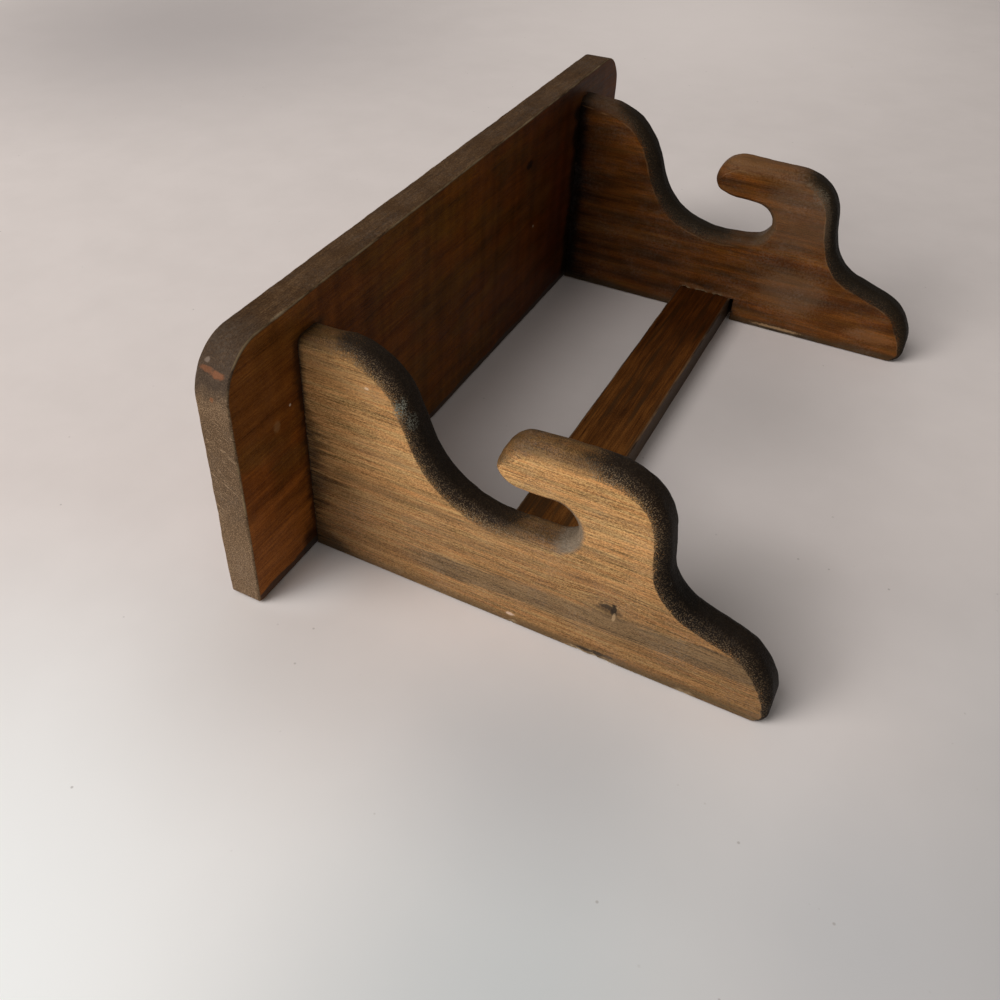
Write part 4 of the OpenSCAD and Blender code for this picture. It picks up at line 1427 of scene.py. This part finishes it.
shelfTopZ = shelf["underZ"] + shelf["thick"]
rear = screws["shelf"]["rearOut"]
shelfScrews = screwSet("shelfScrewSet", "shelf", [
    (x, -out, shelfTopZ) for x in (-bracketX, bracketX) for out in (rear, rear + screws["shelf"]["gap"])],
    (0, 0, 1), 3, screwZinc)
railScrews = screwSet("railScrewSet", "rail", [(-rail["screwX"], 0, 0), (rail["screwX"], 0, 0)], (0, 1, 0), 8,
                      screwZinc)
plateScrews = screwSet("hangerScrewSet", "plate",
                       [(x, 0, plateZ + z) for x in (-bracketX, bracketX) for z in (-hanger["screwGap"] / 2,
        hanger["screwGap"] / 2)], (0, 1, 0), 5, screwZinc)
print("screws", len(shelfScrews.data.polygons), len(railScrews.data.polygons), len(plateScrews.data.polygons))

for piece, node, slot in (
        (shelfTop, "shelf_board", "shelf_pine"), (leftBracket, "left_bracket", "bracket_pine"),
        (rightBracket, "right_bracket", "bracket_pine"), (tieRail, "back_rail", "rail_pine"),
        (shelfScrews, "shelf_screws", "screw_steel"), (railScrews, "rail_screws", "screw_steel"),
        (plateScrews, "hanger_screws", "screw_steel"), (leftPlate, "left_hanger_plate", "plate_steel"),
        (rightPlate, "right_hanger_plate", "plate_steel")):
    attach(piece, "root")
    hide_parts(node)


camera = {
    # solved from the photo's straight edges, in metres
    "lens": 35.43, "shift": (0.0660, -0.0166), "place": (-0.46805, -0.36530, -0.12934),
    "right": (0.48668, -0.00267, -0.87358), "down": (-0.57206, 0.75478, -0.32101),
    "forward": (0.66022, 0.65597, 0.36581),
}


def photoCamera():
    data = bpy.data.cameras.new("photoCamera")
    data.sensor_width = 36
    data.lens = camera["lens"]
    data.shift_x, data.shift_y = camera["shift"]
    data.clip_start, data.clip_end = 0.02, 20
    obj = bpy.data.objects.new("photoCamera", data)
    axes = Vector(camera["right"]), -Vector(camera["down"]), -Vector(camera["forward"])
    turn = Matrix(axes).transposed().to_4x4()
    turn.translation = camera["place"]
    obj.matrix_world = turn
    scene.collection.objects.link(obj)
    scene.camera = obj


photoCamera()


def areaLamp(name, place, target, size, watts, colour):
    data = bpy.data.lights.new(name, "AREA")
    data.shape = "DISK"
    data.size, data.energy, data.color = size, watts, colour
    obj = bpy.data.objects.new(name, data)
    aim = Vector(target) - Vector(place)
    obj.matrix_world = Matrix.Translation(Vector(place)) @ aim.to_track_quat("-Z", "Y").to_matrix().to_4x4()
    scene.collection.objects.link(obj)
    return obj


light = {
    "keyFrom": (-2.8, -1.35, 2.5), "keyTo": (-0.05, -0.05, 0.0), "keySize": 2.6, "keyWatts": 92,
    "keyColour": (1.0, 0.97, 0.93),
    "topFrom": (-2.1, -2.9, 1.6), "topTo": (0.0, 0.0, 0.0), "topSize": 3.0, "topWatts": 90,
    "topColour": (1.0, 0.98, 0.97),
    "ambient": (0.23, 0.222, 0.215),
}


def lighting():
    for kind in ("key", "top"):
        areaLamp(kind + "Lamp", light[kind + "From"], light[kind + "To"], light[kind + "Size"],
                 light[kind + "Watts"], light[kind + "Colour"])
    world = bpy.data.worlds.new("softRoom")
    world.use_nodes = True
    shade = world.node_tree.nodes["Background"]
    shade.inputs["Color"].default_value = (*light["ambient"], 1)
    shade.inputs["Strength"].default_value = 1
    scene.world = world
    scene.view_settings.view_transform = "Standard"


lighting()


ground = {
    "out": 0.6, "reach": 3000, "pale": (0.765, 0.70, 0.67), "dull": (0.735, 0.672, 0.642),
    "speck": (0.3, 0.26, 0.24),
    # painted light and shadow on the floor, as wide patches of a lighter or darker tone: place, half sizes,
    # colour, strength
    "lightAndShadowPools": [
        ((-470, 0, 110), (330, 900, 330), (0.97, 1.0, 1.0), 0.95),
        ((-200, 0, -330), (330, 900, 230), (0.385, 0.405, 0.415), 0.85),
        ((-330, 0, -90), (230, 900, 150), (0.55, 0.6, 0.615), 0.7),
        ((480, 0, 760), (460, 900, 460), (0.48, 0.44, 0.43), 0.8),
        ((900, 0, 200), (520, 900, 420), (1.0, 0.92, 0.88), 0.7),
        ((60, 0, -80), (130, 900, 100), (0.48, 0.44, 0.42), 0.55),
        ((-235, 0, 75), (130, 900, 110), (0.5, 0.46, 0.44), 0.4),
        ((-100, 0, -95), (80, 900, 80), (0.42, 0.39, 0.37), 0.55),
        ((-253, 0, -190), (110, 900, 90), (0.5, 0.52, 0.54), 0.5),
        ((-60, 0, -20), (80, 900, 70), (0.42, 0.39, 0.38), 0.35),
        ((-232, 0, -45), (90, 900, 110), (0.44, 0.44, 0.45), 0.5),
        ((-188, 0, 104), (42, 900, 46), (1.0, 1.0, 1.0), 0.9)],
    # rays this short, in metres, pass through, so that the rack's back isn't black
    "clearWithin": 0.0016,
}


def wallStage():
    out, far = ground["out"] * mm, ground["reach"] * mm
    obj = meshObject("paleGround", [(-far, out, -far), (far, out, -far), (far, out, far), (-far, out, far)],
                     [(0, 1, 2, 3)])
    material, net, shader, place = startMaterial("paleGround", 0.3)
    mottle = net.noise(place, (55, 55, 55), 3, 0.6)
    colour = net.mix(net.remap(mottle, 0.35, 0.65), ground["dull"], ground["pale"])

    # paints a patch of light or shadow on the floor
    def paintedLightOrShadow(centre, size, tint, strength, under):
        away = net.vector("LENGTH", net.vector("DIVIDE", net.vector("SUBTRACT", place, centre), size), out=1)
        return net.mix(net.remap(away, 1.0, 0.0, 0, strength, smooth=True), under, tint)

    for centre, size, tint, strength in ground["lightAndShadowPools"]:
        colour = paintedLightOrShadow(centre, size, tint, strength, colour)
    specks = net.cells(place, 13)
    few = net.noise(place, (40, 40, 40), 1, 0.5)
    dirt = net.remap(specks, 0.06, 0.03) * net.remap(few, 0.5, 0.6)
    colour = net.mix(dirt * 0.5, colour, ground["speck"])
    net.wire(colour, shader.inputs["Base Color"])
    shader.inputs["Roughness"].default_value = 0.6
    clear = net.node("ShaderNodeBsdfTransparent")
    side = net.node("ShaderNodeNewGeometry").outputs["Backfacing"]
    reach = net.node("ShaderNodeLightPath").outputs["Ray Length"]
    side = net.math("MAXIMUM", side, net.math("LESS_THAN", reach, ground["clearWithin"]))
    pick = net.node("ShaderNodeMixShader")
    net.wire(side, pick.inputs[0])
    net.wire(shader.outputs[0], pick.inputs[1])
    net.wire(clear.outputs[0], pick.inputs[2])
    net.wire(pick.outputs[0], material.node_tree.nodes["Material Output"].inputs["Surface"])
    obj.data.materials.append(material)


wallStage()
